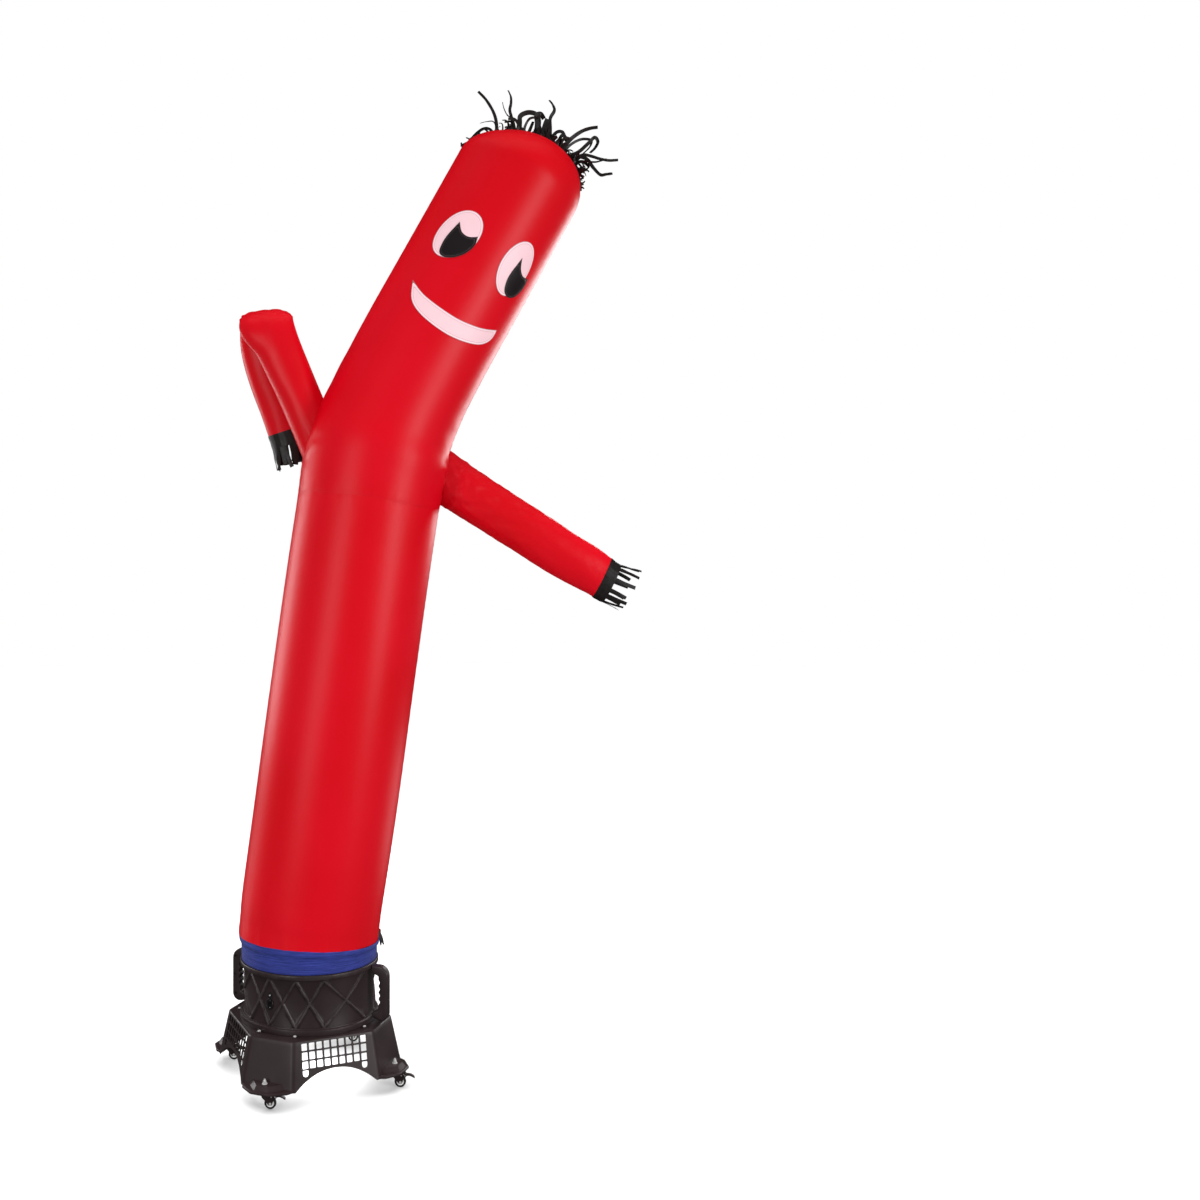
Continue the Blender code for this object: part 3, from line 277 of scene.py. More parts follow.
class Paint:
    """A material on a Principled shader, whose maths is written as sums of Values."""

    def __init__(self, name, colour, roughness, **constants):
        self.finish = bpy.data.materials.new(name)
        self.finish.use_nodes = True
        self.finish.diffuse_color = (*colour, 1.0)
        self.tree = self.finish.node_tree
        self.shader = self.tree.nodes["Principled BSDF"]
        self.colour = (*colour, 1.0)
        self.shader.inputs["Base Color"].default_value = self.colour
        self.shader.inputs["Roughness"].default_value = roughness
        for key, value in constants.items():
            self.shader.inputs[key.replace("_", " ")].default_value = value

    def node(self, kind, settings=None, inputs=None, output=0):
        made = self.tree.nodes.new(kind)
        for key, value in (settings or {}).items():
            setattr(made, key, value)
        pairs = enumerate(inputs) if isinstance(inputs, list) else (inputs or {}).items()
        for key, value in pairs:
            self.feed(made.inputs[key], value)
        return Value(self, made.outputs[output])

    def feed(self, socket, value):
        if isinstance(value, Value):
            self.tree.links.new(value.socket, socket)
        else:
            socket.default_value = value

    def mix(self, share, first, second):
        """From the first colour to the second by share."""
        return self.node("ShaderNodeMix", {"data_type": "RGBA"}, {0: share, 6: first, 7: second}, output=2)

    def place(self):
        return self.node("ShaderNodeTexCoord", output=3)

    def uv(self, layer):
        """The two coordinates of a UV map."""
        read = self.node("ShaderNodeUVMap", {"uv_map": layer})
        return self.split(read)

    def split(self, vector):
        first = self.node("ShaderNodeSeparateXYZ", inputs={"Vector": vector})
        node = first.socket.node
        return first, Value(self, node.outputs[1]), Value(self, node.outputs[2])

    def grain(self, scale, detail=2.0, vector=None, roughness=0.5):
        """Noise from 0 to 1."""
        where = self.place() if vector is None else vector
        return self.node("ShaderNodeTexNoise", inputs={"Vector": where, "Scale": scale, "Detail": detail,
                                                      "Roughness": roughness})

    def stretched(self, x, y, z):
        """Object coordinates scaled unevenly."""
        return self.node("ShaderNodeVectorMath", {"operation": "MULTIPLY"}, [self.place(), (x, y, z)])

    def set(self, socket, value):
        self.feed(self.shader.inputs[socket], value)
        return self

    def relief(self, height, distance, strength=1.0):
        """Bump the surface by a height."""
        bump = self.node("ShaderNodeBump", inputs={"Height": height, "Distance": distance,
                                                  "Strength": strength})
        return self.set("Normal", bump)


def stitches(paint, layer, rows, pitch=3.2 * MM, half=0.45 * MM):
    """Dashes of thread in rows at given distances from a sewn edge: run along it is U, distance is V."""
    run, away, _ = paint.uv(layer)
    line = away.near(rows[0], half)
    for row in rows[1:]:
        line = line + away.near(row, half)
    return line * ((run / pitch).remainder() < 0.72), away


def weave(paint, layer, pitch):
    """A plain weave's height from a UV map in metres."""
    across, along, _ = paint.uv(layer)
    turns = math.tau / pitch
    return (across * turns).sine() * (along * turns).sine()


def red_nylon():
    paint = Paint("red nylon", (0.600, 0.0, 0.0060), 0.36, Specular_IOR_Level=0.15)
    dark = (0.44, 0.0, 0.004, 1.0)
    light = (0.67, 0.0, 0.007, 1.0)
    thread, away = stitches(paint, "stitch", (5.0 * MM, 9.0 * MM))
    drift = paint.grain(2.3, 3.0)
    body = paint.mix(drift.ramp(0.3, 0.7), (0.570, 0.0, 0.005, 1.0), (0.620, 0.0, 0.009, 1.0))
    slub = paint.grain(1.0, 3.0, paint.stretched(420.0, 420.0, 30.0))
    body = paint.mix(slub.ramp(0.55, 0.8) * 0.10, body, light)
    # Painted shade: within 1.6 mm of a sewn edge, where the seam folds under, the cloth is darkened. The bump
    # below also presses this band in.
    fold = (away < 1.6 * MM) * 0.55
    body = paint.mix(fold, body, dark)
    body = paint.mix(thread * 0.30, body, dark)
    paint.set("Base Color", body)
    paint.set("Roughness", 0.31 + drift * 0.09)
    height = weave(paint, "weave", 1.3 * MM) * 0.25 + slub * 0.4 - thread * 1.2 - fold
    return paint.relief(height, 0.25 * MM, 0.35).finish


def patch_white():
    paint = Paint("white nylon patch", (0.90, 0.57, 0.625), 0.50, Specular_IOR_Level=0.3)
    thread, away = stitches(paint, "stitch", (7.5 * MM,), 2.6 * MM, 0.60 * MM)
    drift = paint.grain(14.0, 2.0)
    body = paint.mix(drift, (0.86, 0.555, 0.605, 1.0), (0.90, 0.610, 0.655, 1.0))
    body = paint.mix((away < 7.0 * MM) * 0.55, body, (0.90, 0.700, 0.735, 1.0))
    body = paint.mix(away.near(7.5 * MM, 0.7 * MM) * 0.30, body, (0.60, 0.30, 0.36, 1.0))
    body = paint.mix(thread * 0.60, body, (0.42, 0.16, 0.22, 1.0))
    body = paint.mix((away < 1.5 * MM) * 0.80, body, (0.20, 0.02, 0.04, 1.0))
    paint.set("Base Color", body)
    height = weave(paint, "weave", 1.3 * MM) * 0.2 - thread * 1.4
    return paint.relief(height, 0.25 * MM, 0.4).finish


def patch_black():
    paint = Paint("black satin patch", (0.010, 0.008, 0.009), 0.30, Specular_IOR_Level=0.55)
    thread, away = stitches(paint, "stitch", (5.6 * MM,), 2.6 * MM, 0.60 * MM)
    body = paint.mix((away < 1.6 * MM) * 0.8, (0.013, 0.009, 0.010, 1.0), (0.060, 0.040, 0.044, 1.0))
    body = paint.mix(thread * 0.8, body, (0.110, 0.085, 0.090, 1.0))
    paint.set("Base Color", body)
    paint.set("Roughness", 0.26 + paint.grain(30.0) * 0.14)
    height = weave(paint, "weave", 1.3 * MM) * 0.2 - thread * 1.4
    return paint.relief(height, 0.25 * MM, 0.5).finish


def ribbon_black():
    paint = Paint("black ribbon cloth", (0.010, 0.008, 0.008), 0.46, Specular_IOR_Level=0.3)
    drift = paint.grain(120.0, 3.0)
    paint.set("Base Color", paint.mix(drift, (0.006, 0.0048, 0.0048, 1.0), (0.019, 0.0145, 0.0145, 1.0)))
    paint.set("Roughness", 0.34 + drift * 0.22)
    return paint.relief(paint.grain(900.0), 0.2 * MM, 0.35).finish


def band_blue():
    paint = Paint("blue band cloth", (0.018, 0.034, 0.225), 0.62, Sheen_Weight=0.04, Specular_IOR_Level=0.25)
    rows = (5.0 * MM, 16.0 * MM, 27.0 * MM, 38.0 * MM, 73.5 * MM)
    thread, away = stitches(paint, "stitch", rows, 3.6 * MM, 0.55 * MM)
    streak = paint.grain(1.0, 4.0, paint.stretched(14.0, 14.0, 420.0), 0.65)
    body = paint.mix(streak.ramp(0.30, 0.72), (0.009, 0.020, 0.150, 1.0), (0.036, 0.054, 0.330, 1.0))
    plum = paint.grain(1.0, 3.0, paint.stretched(9.0, 9.0, 260.0))
    body = paint.mix(plum.ramp(0.60, 0.78) * 0.30, body, (0.070, 0.034, 0.230, 1.0))
    # Two grooves between stitch rows: pressed in by the bump, and darkened in colour as painted shade.
    groove_and_painted_shade = (((away - 10.5 * MM).size() < 1.2 * MM) + ((away - 21.5 * MM).size() < 1.2 * MM)) * 0.3
    body = paint.mix(groove_and_painted_shade, body, (0.010, 0.013, 0.100, 1.0))
    body = paint.mix(thread * 0.7, body, (0.009, 0.011, 0.085, 1.0))
    paint.set("Base Color", body)
    height = streak * 0.6 + weave(paint, "weave", 1.8 * MM) * 0.35 - thread * 1.3 - groove_and_painted_shade
    return paint.relief(height, 0.4 * MM, 0.6).finish


def webbing_black():
    paint = Paint("black strap webbing", (0.014, 0.012, 0.013), 0.62, Sheen_Weight=0.2)
    across, along, _ = paint.uv("weave")
    rib = (along * (math.tau / (1.6 * MM)) + (across * 900.0).sine()).sine()
    body = paint.mix(rib * 0.5 + 0.5, (0.009, 0.008, 0.009, 1.0), (0.030, 0.027, 0.028, 1.0))
    paint.set("Base Color", body)
    return paint.relief(rib, 0.25 * MM, 0.6).finish


def hook_tape_black():
    paint = Paint("black hook tape", (0.010, 0.009, 0.011), 0.85, Sheen_Weight=0.5, Sheen_Roughness=0.6)
    fuzz = paint.grain(1300.0, 3.0)
    paint.set("Base Color", paint.mix(fuzz.ramp(0.35, 0.75), (0.006, 0.006, 0.008, 1.0),
                                      (0.050, 0.048, 0.056, 1.0)))
    return paint.relief(fuzz, 0.9 * MM, 0.9).finish


def moulded_black(name="black moulding", tone=1.0, roughness=0.40, highlight_layer=None):
    """A satin black moulding with a fine grain, warm in the light, and a painted highlight that makes it a
    little paler along the edges its highlight layer marks.
    """
    low = (0.0225 * tone, 0.0130 * tone, 0.0138 * tone, 1.0)
    high = (0.0300 * tone, 0.0180 * tone, 0.0190 * tone, 1.0)
    paint = Paint(name, low[:3], roughness, Specular_IOR_Level=0.46)
    drift = paint.grain(7.0, 4.0)
    body = paint.mix(drift.ramp(0.3, 0.7), low, high)
    speck = paint.grain(260.0, 2.0)
    body = paint.mix(speck.ramp(0.68, 0.80) * 0.25, body, (0.040 * tone, 0.033 * tone, 0.034 * tone, 1.0))
    if highlight_layer:
        # Painted highlight: a paler colour, broken up by noise, where the layer marks rib tops and ring
        # edges.
        painted_highlight = paint.node("ShaderNodeAttribute", {"attribute_name": highlight_layer}, output=2)
        painted_highlight = painted_highlight * paint.grain(45.0, 3.0).ramp(0.35, 0.65)
        body = paint.mix(painted_highlight * 0.55, body, (0.060 * tone, 0.050 * tone, 0.051 * tone, 1.0))
    paint.set("Base Color", body)
    paint.set("Roughness", roughness - 0.05 + drift * 0.12)
    return paint.relief(paint.grain(1500.0, 2.0), 0.12 * MM, 0.45).finish


def zinc_plated():
    paint = Paint("zinc plated steel", (0.74, 0.73, 0.72), 0.30, Metallic=0.55)
    drift = paint.grain(160.0, 3.0)
    paint.set("Base Color", paint.mix(drift, (0.62, 0.61, 0.61, 1.0), (0.88, 0.87, 0.86, 1.0)))
    paint.set("Roughness", 0.22 + drift * 0.22)
    return paint.finish


def dark_metal(name, tone, roughness, metallic):
    paint = Paint(name, (tone, tone, tone * 1.05), roughness, Metallic=metallic)
    drift = paint.grain(90.0, 3.0)
    paint.set("Base Color", paint.mix(drift, (tone * 0.7, tone * 0.7, tone * 0.74, 1.0),
                                      (tone * 1.35, tone * 1.33, tone * 1.35, 1.0)))
    paint.set("Roughness", roughness - 0.06 + drift * 0.14)
    return paint.relief(paint.grain(700.0), 0.1 * MM, 0.3).finish


def tyre_rubber():
    paint = Paint("tyre rubber", (0.011, 0.010, 0.010), 0.55, Specular_IOR_Level=0.45)
    dust = paint.grain(200.0, 4.0)
    paint.set("Base Color", paint.mix(dust.ramp(0.5, 0.9) * 0.5, (0.010, 0.009, 0.009, 1.0),
                                      (0.045, 0.042, 0.040, 1.0)))
    paint.set("Roughness", 0.42 + dust * 0.25)
    return paint.finish


def wheel_white():
    paint = Paint("white wheel plastic", (0.80, 0.79, 0.78), 0.42)
    dirt = paint.grain(220.0, 3.0)
    paint.set("Base Color", paint.mix(dirt.ramp(0.55, 0.85) * 0.35, (0.82, 0.81, 0.80, 1.0),
                                      (0.50, 0.48, 0.46, 1.0)))
    return paint.finish


PAINTS = {
    "red_cloth": red_nylon(),
    "white_cloth": patch_white(),
    "pupil": patch_black(),
    "black_cloth": ribbon_black(),
    "blue_band": band_blue(),
    "black_strap": webbing_black(),
    "hook_tape": hook_tape_black(),
    # The housing carries the drum's painted highlight on its rib tops and ring edges.
    "housing": moulded_black(highlight_layer="painted_highlight"),
    "plain_housing": moulded_black("black moulding, plain"),
    "fork": moulded_black("black pressed steel", 0.8, 0.34),
    "fan": moulded_black("fan plastic", 1.2, 0.45),
    "black_wire": dark_metal("black wire", 0.030, 0.38, 0.4),
    "black_steel": dark_metal("black steel", 0.070, 0.32, 0.9),
    "motor_case": dark_metal("motor case", 0.060, 0.42, 0.7),
    "plated_steel": zinc_plated(),
    "tyre": tyre_rubber(),
    "hub": wheel_white(),
}


def finish(piece, paint, body="root", stands_for=()):
    """Paint a piece, set it on its body and hide the nodes it stands for."""
    piece.data.materials.clear()
    piece.data.materials.append(PAINTS[paint])
    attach(piece, body)
    if stands_for:
        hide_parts(*stands_for)
    return piece


def repaint(node, paint):
    """A node that stays as it is gets a fuller finish."""
    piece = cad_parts[node]
    for i in range(len(piece.data.materials)):
        piece.data.materials[i] = PAINTS[paint]


# ---- the dancer's cloth ----
CLOTH = 1.2 * MM
TUBE_SIDES = 128
# Added to the distance from a cross seam: keeps the red cloth's painted seam-fold shade off the waist, and
# moves its stitch rows out.
HIDDEN_FOLD = 1.8 * MM
# Body stations: x and z of the ring's centre, its radius, and its lean from upright towards +X in degrees.
LOWER_STATIONS = [
    (-0.0030, 0.4803, 0.2367, 0.0),
    (0.0010, 0.5150, 0.2368, 5.0),
    (0.0110, 0.6000, 0.2398, 7.6),
    (0.0500, 0.8700, 0.2420, 8.2),
    (0.1060, 1.2800, 0.2420, 7.9),
    (0.1590, 1.6600, 0.2418, 7.8),
    (0.2010, 1.9410, 0.2412, 8.2),
]
UPPER_STATIONS = [
    (0.2010, 1.9410, 0.2412, 8.2),
    (0.2160, 2.0330, 0.2440, 11.5),
    (0.2350, 2.1140, 0.2450, 17.0),
    (0.2620, 2.2000, 0.2350, 23.0),
    (0.3150, 2.3190, 0.2275, 27.0),
]
HEAD_LEAN = math.radians(29.2)
HEAD_FOOT = Vector((0.4005, 0.0, 2.4830))
HEAD_LENGTH = 0.6255
HEAD_R_LOW = 0.2250
HEAD_R_HIGH = 0.2215
CROWN_HEIGHT = 0.167
CROWN_LEAN = math.radians(22.5)
SEAM_PINCH = 0.35


def wander(turn, along, around_rate, along_rate, seed):
    """Smooth noise round a tube that meets itself, from -1 to 1."""
    return noise.noise(Vector((around_rate * math.cos(turn), around_rate * math.sin(turn),
                               along_rate * along + seed)))


def head_point(up):
    return HEAD_FOOT + Vector((math.sin(HEAD_LEAN), 0.0, math.cos(HEAD_LEAN))) * up


def crown_row(step_deg):
    """Centre x and z, half width, half depth, lean and pinch of the crown's ring at a step from 0 to 90."""
    s = math.radians(step_deg)
    lean = HEAD_LEAN + (CROWN_LEAN - HEAD_LEAN) * min(1.0, step_deg / 45.0)
    centre = head_point(HEAD_LENGTH + CROWN_HEIGHT * math.sin(s))
    return [centre.x, centre.z, HEAD_R_HIGH * math.cos(s), HEAD_R_HIGH * math.cos(s) ** 1.15,
            math.degrees(lean), SEAM_PINCH * step_deg / 90.0]


def body_rows(stations, count):
    return [[x, z, r, r, lean, 0.0] for x, z, r, lean in catmull(stations, count)]


CHEST_AND_NECK_ROWS = 105
CROWN_STEPS = (3, 6, 10, 14, 18, 23, 28, 33, 38, 43, 48, 53, 58, 63, 68, 72, 76, 80, 83, 86, 88, 89.3)


def upper_rows():
    """Rings from the waist to the top of the head, about 12 mm apart."""
    stations = list(UPPER_STATIONS)
    for share in (0.0, 0.33, 0.67, 1.0):
        c = head_point(HEAD_LENGTH * share)
        radius = HEAD_R_LOW + (HEAD_R_HIGH - HEAD_R_LOW) * share
        stations.append((c.x, c.z, radius, math.degrees(HEAD_LEAN)))
    return body_rows(stations, CHEST_AND_NECK_ROWS) + [crown_row(step) for step in CROWN_STEPS]


def tube_point(row, turn, lift=0.0):
    x, z, wide, deep, lean_deg, pinch = row
    lean = math.radians(lean_deg)
    across = Vector((math.cos(lean), 0.0, -math.sin(lean)))
    depth = math.sin(turn) * abs(math.sin(turn)) ** pinch
    return Vector((x, 0.0, z)) + across * (wide + lift) * math.cos(turn) \
        + Vector((0.0, (deep + lift) * depth, 0.0))


def row_lengths(rows):
    """How far each ring's centre lies along the tube."""
    out = [0.0]
    for low, high in zip(rows, rows[1:]):
        out.append(out[-1] + math.hypot(high[0] - low[0], high[1] - low[1]))
    return out


def side_gap(turn):
    """Angle to the nearer of the two side seams."""
    return min(abs(math.remainder(turn, math.tau)), abs(math.remainder(turn - math.pi, math.tau)))


BAND_TILT = 13.0 * MM
BAND_SAG = 8.0 * MM


def band_dip(across):
    """How far the band's top edge sits below level: lower at the sides, and most on the right."""
    return BAND_TILT * across + BAND_SAG * across * across


def lower_lift(turn, along, whole):
    """How far the lower tube stands out or draws in: gathered at the band and waist, soft between."""
    up, down = along, whole - along
    lift = 1.6 * MM * wander(turn, along, 1.6, 1.5, 3.0)
    lift += 2.6 * MM * math.exp(-up / 0.055) * wander(turn, along, 9.0, 6.0, 11.0)
    lift += 1.4 * MM * math.exp(-up / 0.20) * wander(turn, along, 4.5, 2.0, 17.0)
    lift += 1.5 * MM * math.exp(-down / 0.045) * wander(turn, along, 9.0, 7.0, 23.0)
    lift -= 0.2 * MM * math.exp(-(down / 0.006) ** 2)
    gap = side_gap(turn) * 0.238
    pucker = math.sin(along * math.tau / 0.031 + 4.0 * wander(turn, along, 1.0, 9.0, 5.0))
    lift += 0.8 * MM * math.exp(-gap / 0.016) * pucker - 1.0 * MM * math.exp(-(gap / 0.0045) ** 2)
    return lift


ROOT_LEFT = Vector((0.075, -0.03, 2.10))
ROOT_RIGHT = Vector((0.445, 0.05, 2.04))


def root_pull(point, root, reach):
    """Folds that fan out from an arm's root."""
    away = point - root
    far = away.length
    turn = math.atan2(away.z, away.y if abs(away.y) > 1e-6 else 1e-6)
    return math.exp(-((far - 0.085) / reach) ** 2) * math.sin(9.0 * turn + 5.0 * noise.noise(away * 9.0))


def upper_lift(turn, along, row, head_start):
    """Gathers at the waist, the neck's bend and the arms' roots, and puckers at the crown's seam."""
    up = along
    lift = 1.5 * MM * wander(turn, along, 1.7, 1.6, 41.0)
    lift += 1.5 * MM * math.exp(-up / 0.045) * wander(turn, along, 9.0, 7.0, 47.0)
    lift -= 0.2 * MM * math.exp(-(up / 0.006) ** 2)
    inside = math.exp(-(math.remainder(turn, math.tau) / 0.75) ** 2)
    bend = math.exp(-((up - 0.30) / 0.16) ** 2)
    lift += 2.6 * MM * inside * bend * wander(turn, up, 2.2, 17.0, 53.0)
    outside = math.exp(-(math.remainder(turn - math.pi, math.tau) / 0.9) ** 2)
    lift += 2.0 * MM * outside * bend * wander(turn, up, 5.0, 14.0, 59.0)
    point = tube_point(row, turn)
    lift += 1.3 * MM * root_pull(point, ROOT_LEFT, 0.05) + 1.6 * MM * root_pull(point, ROOT_RIGHT, 0.05)
    gap = side_gap(turn) * max(row[2], 0.02)
    pucker = math.sin(along * math.tau / 0.027 + 4.0 * wander(turn, along, 1.0, 9.0, 61.0))
    lift += 0.9 * MM * math.exp(-gap / 0.016) * pucker - 0.9 * MM * math.exp(-(gap / 0.0045) ** 2)
    crown = max(0.0, along - head_start)
    lift += 1.6 * MM * ease(crown, 0.0, 0.08) * math.exp(-gap / 0.030) * pucker
    quiet = 1.0 - 0.75 * math.exp(-((math.remainder(turn + 0.5 * math.pi, math.tau)) / 0.9) ** 2) \
        * ease(along, 0.62, 0.75) * (1.0 - ease(along, 1.15, 1.25))
    return lift * quiet


def lay_cloth(name, rows, weave_rows, stitch_rows, closed=True):
    """One skin of cloth through rows of points, with two UV maps: its weave, and its sewn edges."""
    sides = len(rows[0])
    points = [AXIS + p for row in rows for p in row]
    faces, corners = [], []
    spans = sides if closed else sides - 1
    for r in range(len(rows) - 1):
        for i in range(spans):
            j = (i + 1) % sides
            faces.append((r * sides + i, r * sides + j, (r + 1) * sides + j, (r + 1) * sides + i))
            corners += [(r, i), (r, i + 1), (r + 1, i + 1), (r + 1, i)]
    mesh = bpy.data.meshes.new(name)
    mesh.from_pydata(points, [], faces)
    for layer, table in (("weave", weave_rows), ("stitch", stitch_rows)):
        data = mesh.uv_layers.new(name=layer).data
        for loop, (r, i) in zip(data, corners):
            loop.uv = table[r][i]
    piece = bpy.data.objects.new(name, mesh)
    bpy.context.scene.collection.objects.link(piece)
    return piece


def thicken(piece, thickness, offset=-1.0):
    modify(piece, "SOLIDIFY", thickness=thickness, offset=offset, use_even_offset=False, use_rim=True)
    return smooth(piece, 62.0)


def make_tube(name, rows, lift, edges, tied_foot=0.0):
    """A body tube. edges lists the distances along it where cross seams run."""
    lengths = row_lengths(rows)
    turns = [math.tau * i / TUBE_SIDES for i in range(TUBE_SIDES)]
    skin, weave_rows, stitch_rows = [], [], []
    for row, along in zip(rows, lengths):
        dip = tied_foot * (1.0 - ease(along, 0.0, 0.10))
        skin.append([tube_point(row, turn, lift(turn, along, row))
                     - Vector((0.0, 0.0, band_dip(math.cos(turn)))) * dip for turn in turns])
        weave_rows.append([(0.238 * math.tau * i / TUBE_SIDES, along) for i in range(TUBE_SIDES + 1)])
        # HIDDEN_FOLD keeps the painted seam-fold shade off the cross seams.
        cross = min(abs(along - edge) for edge in edges) + HIDDEN_FOLD
        line = []
        for i in range(TUBE_SIDES + 1):
            turn = math.tau * i / TUBE_SIDES
            gap = side_gap(turn) * max(row[2], 0.01)
            line.append((along, gap) if gap < cross else (0.238 * turn, cross))
        stitch_rows.append(line)
    return lay_cloth(name, skin, weave_rows, stitch_rows), skin


def skin_tree(pieces):
    """A tree of the cloth's outside, for laying other pieces on it."""
    points, faces = [], []
    for piece in pieces:
        start = len(points)
        points += [v.co - AXIS for v in piece.data.vertices]
        faces += [[start + i for i in f.vertices] for f in piece.data.polygons]
    return BVHTree.FromPolygons(points, faces)


# Arm stations: centre, half width in the front view, half depth towards the back.
ARM_LEFT = [
    (0.0902, 0.0000, 2.0190, 0.0740, 0.0700),
    (0.0499, -0.0100, 2.1100, 0.0735, 0.0690),
    (0.0098, -0.0200, 2.2040, 0.0720, 0.0660),
    (-0.0286, -0.0300, 2.2935, 0.0710, 0.0600),
    (-0.0660, -0.0420, 2.3790, 0.0730, 0.0550),
    (-0.1040, -0.0520, 2.4647, 0.0765, 0.0480),
    (-0.1400, -0.0450, 2.5330, 0.0925, 0.0390),
    (-0.1500, 0.0000, 2.5690, 0.0860, 0.0300),
    (-0.1590, 0.0450, 2.5480, 0.0850, 0.0360),
    (-0.1684, 0.0620, 2.4918, 0.0760, 0.0450),
    (-0.1598, 0.0770, 2.4291, 0.0720, 0.0520),
    (-0.1378, 0.0960, 2.3528, 0.0710, 0.0550),
    (-0.1087, 0.1090, 2.2750, 0.0710, 0.0540),
    (-0.0830, 0.1200, 2.1959, 0.0700, 0.0500),
]
ARM_RIGHT = [
    (0.4000, 0.0500, 2.0700, 0.0900, 0.0620),
    (0.4794, 0.0500, 2.0206, 0.0870, 0.0620),
    (0.5415, 0.0500, 1.9790, 0.0845, 0.0600),
    (0.6554, 0.0500, 1.9067, 0.0830, 0.0580),
    (0.7658, 0.0500, 1.8356, 0.0825, 0.0570),
    (0.8700, 0.0500, 1.7683, 0.0815, 0.0550),
    (0.9486, 0.0500, 1.7170, 0.0765, 0.0500),
    (0.9959, 0.0500, 1.6797, 0.0715, 0.0450),
]
ARM_SIDES = 72
WIDTH_LEFT = Vector((0.94, 0.0, 0.34))
WIDTH_AT_FOLD = Vector((0.995, 0.0, 0.10))
WIDTH_RIGHT = Vector((0.54, 0.0, 0.84))


def left_width(share):
    """Which way the left arm is widest: more nearly level over its fold."""
    return WIDTH_LEFT.lerp(WIDTH_AT_FOLD, math.exp(-((share - 0.55) / 0.12) ** 2))


def right_width(share):
    return WIDTH_RIGHT


def arm_rows(stations, guide, count):
    """Rings square to the arm's run: centre, run, width and depth directions, half width and half depth."""
    path = catmull(stations, count)
    rows = []
    for i, (x, y, z, wide, deep) in enumerate(path):
        before, after = path[max(0, i - 1)], path[min(count - 1, i + 1)]
        run = (Vector(after[:3]) - Vector(before[:3])).normalized()
        wanted = guide(i / (count - 1))
        width = (wanted - run * wanted.dot(run)).normalized()
        rows.append((Vector((x, y, z)), run, width, run.cross(width), wide, deep))
    return rows


def arm_skin(rows, folds):
    """Points of the arm's rings, with folds(share, turn) added outwards."""
    skin = []
    for n, (centre, _, width, depth, wide, deep) in enumerate(rows):
        share = n / (len(rows) - 1)
        ring = []
        for k in range(ARM_SIDES):
            turn = math.tau * k / ARM_SIDES
            lift = folds(share, turn)
            across = width * (wide + lift) * math.cos(turn)
            ring.append(centre + across + depth * (deep + lift) * math.sin(turn))
        skin.append(ring)
    return skin


def set_on_body(skin, body, first_free):
    """Start each lengthwise line of an arm where it leaves the body, and share its points out again."""
    for k in range(len(skin[0])):
        line = [ring[k] for ring in skin]
        root, root_row = line[0], 0
        for n in range(first_free, 0, -1):
            step = line[n - 1] - line[n]
            hit = body.ray_cast(line[n], step.normalized(), step.length)
            if hit[0] is not None:
                root, root_row = hit[0] + step.normalized() * 0.002, n
                break
        kept = [root] + line[root_row:first_free + 1]
        lengths = [0.0]
        for a, b in zip(kept, kept[1:]):
            lengths.append(lengths[-1] + (b - a).length)
        for n in range(first_free):
            want = lengths[-1] * n / first_free
            i = max(j for j in range(len(lengths)) if lengths[j] <= want + 1e-9)
            i = min(i, len(kept) - 2)
            span = max(lengths[i + 1] - lengths[i], 1e-9)
            skin[n][k] = kept[i].lerp(kept[i + 1], (want - lengths[i]) / span)
    return skin


def left_folds(share, turn):
    """The left arm: creases over its fold, drawn in at the root, soft elsewhere."""
    fold = math.exp(-((share - 0.545) / 0.085) ** 2)
    lift = 1.8 * MM * wander(turn, share, 1.6, 9.0, 71.0)
    lift += 4.2 * MM * fold * wander(turn, share, 4.0, 26.0, 73.0)
    root = math.exp(-((share - 0.10) / 0.07) ** 2)
    lift += 2.4 * MM * root * wander(turn, share, 5.0, 8.0, 79.0)
    return lift + 1.6 * MM * math.exp(-((1.0 - share) / 0.03)) * wander(turn, share, 8.0, 4.0, 83.0)


def right_folds(share, turn):
    """The right arm: long slack wrinkles near the body, and gathers at the cuff."""
    slack = 1.0 - ease(share, 0.25, 0.75)
    lift = 1.6 * MM * wander(turn, share, 1.8, 8.0, 89.0)
    lift += 3.6 * MM * slack * wander(turn + 5.0 * share, share, 3.2, 18.0, 97.0)
    lift += 1.7 * MM * (0.35 + slack) * wander(turn - 4.0 * share, share, 5.5, 34.0, 98.0)
    lift += 2.2 * MM * math.exp(-share / 0.16) * wander(turn, share, 7.0, 5.0, 101.0)
    return lift + 1.8 * MM * math.exp(-((1.0 - share) / 0.04)) * wander(turn, share, 8.0, 4.0, 103.0)


def cut_aslant(skin, forward, tilt, lift, rings=26):
    """Run an arm's end on further on its lower side than on its upper side, and raise it."""
    ends = [sum(ring, Vector()) / len(ring) for ring in (skin[-4], skin[-1])]
    run = (ends[1] - ends[0]).normalized()
    up = run.cross(Vector((0.0, 1.0, 0.0))).normalized()
    up *= math.copysign(1.0, up.z)
    for n in range(1, rings + 1):
        ring = skin[-n]
        weight = ease(rings + 1 - n, 0.0, rings)
        centre = sum(ring, Vector()) / len(ring)
        reach = max((p - centre).dot(up) for p in ring)
        skin[-n] = [p + weight * (run * (forward - tilt * (p - centre).dot(up) / reach) + up * lift)
                    for p in ring]
    return skin


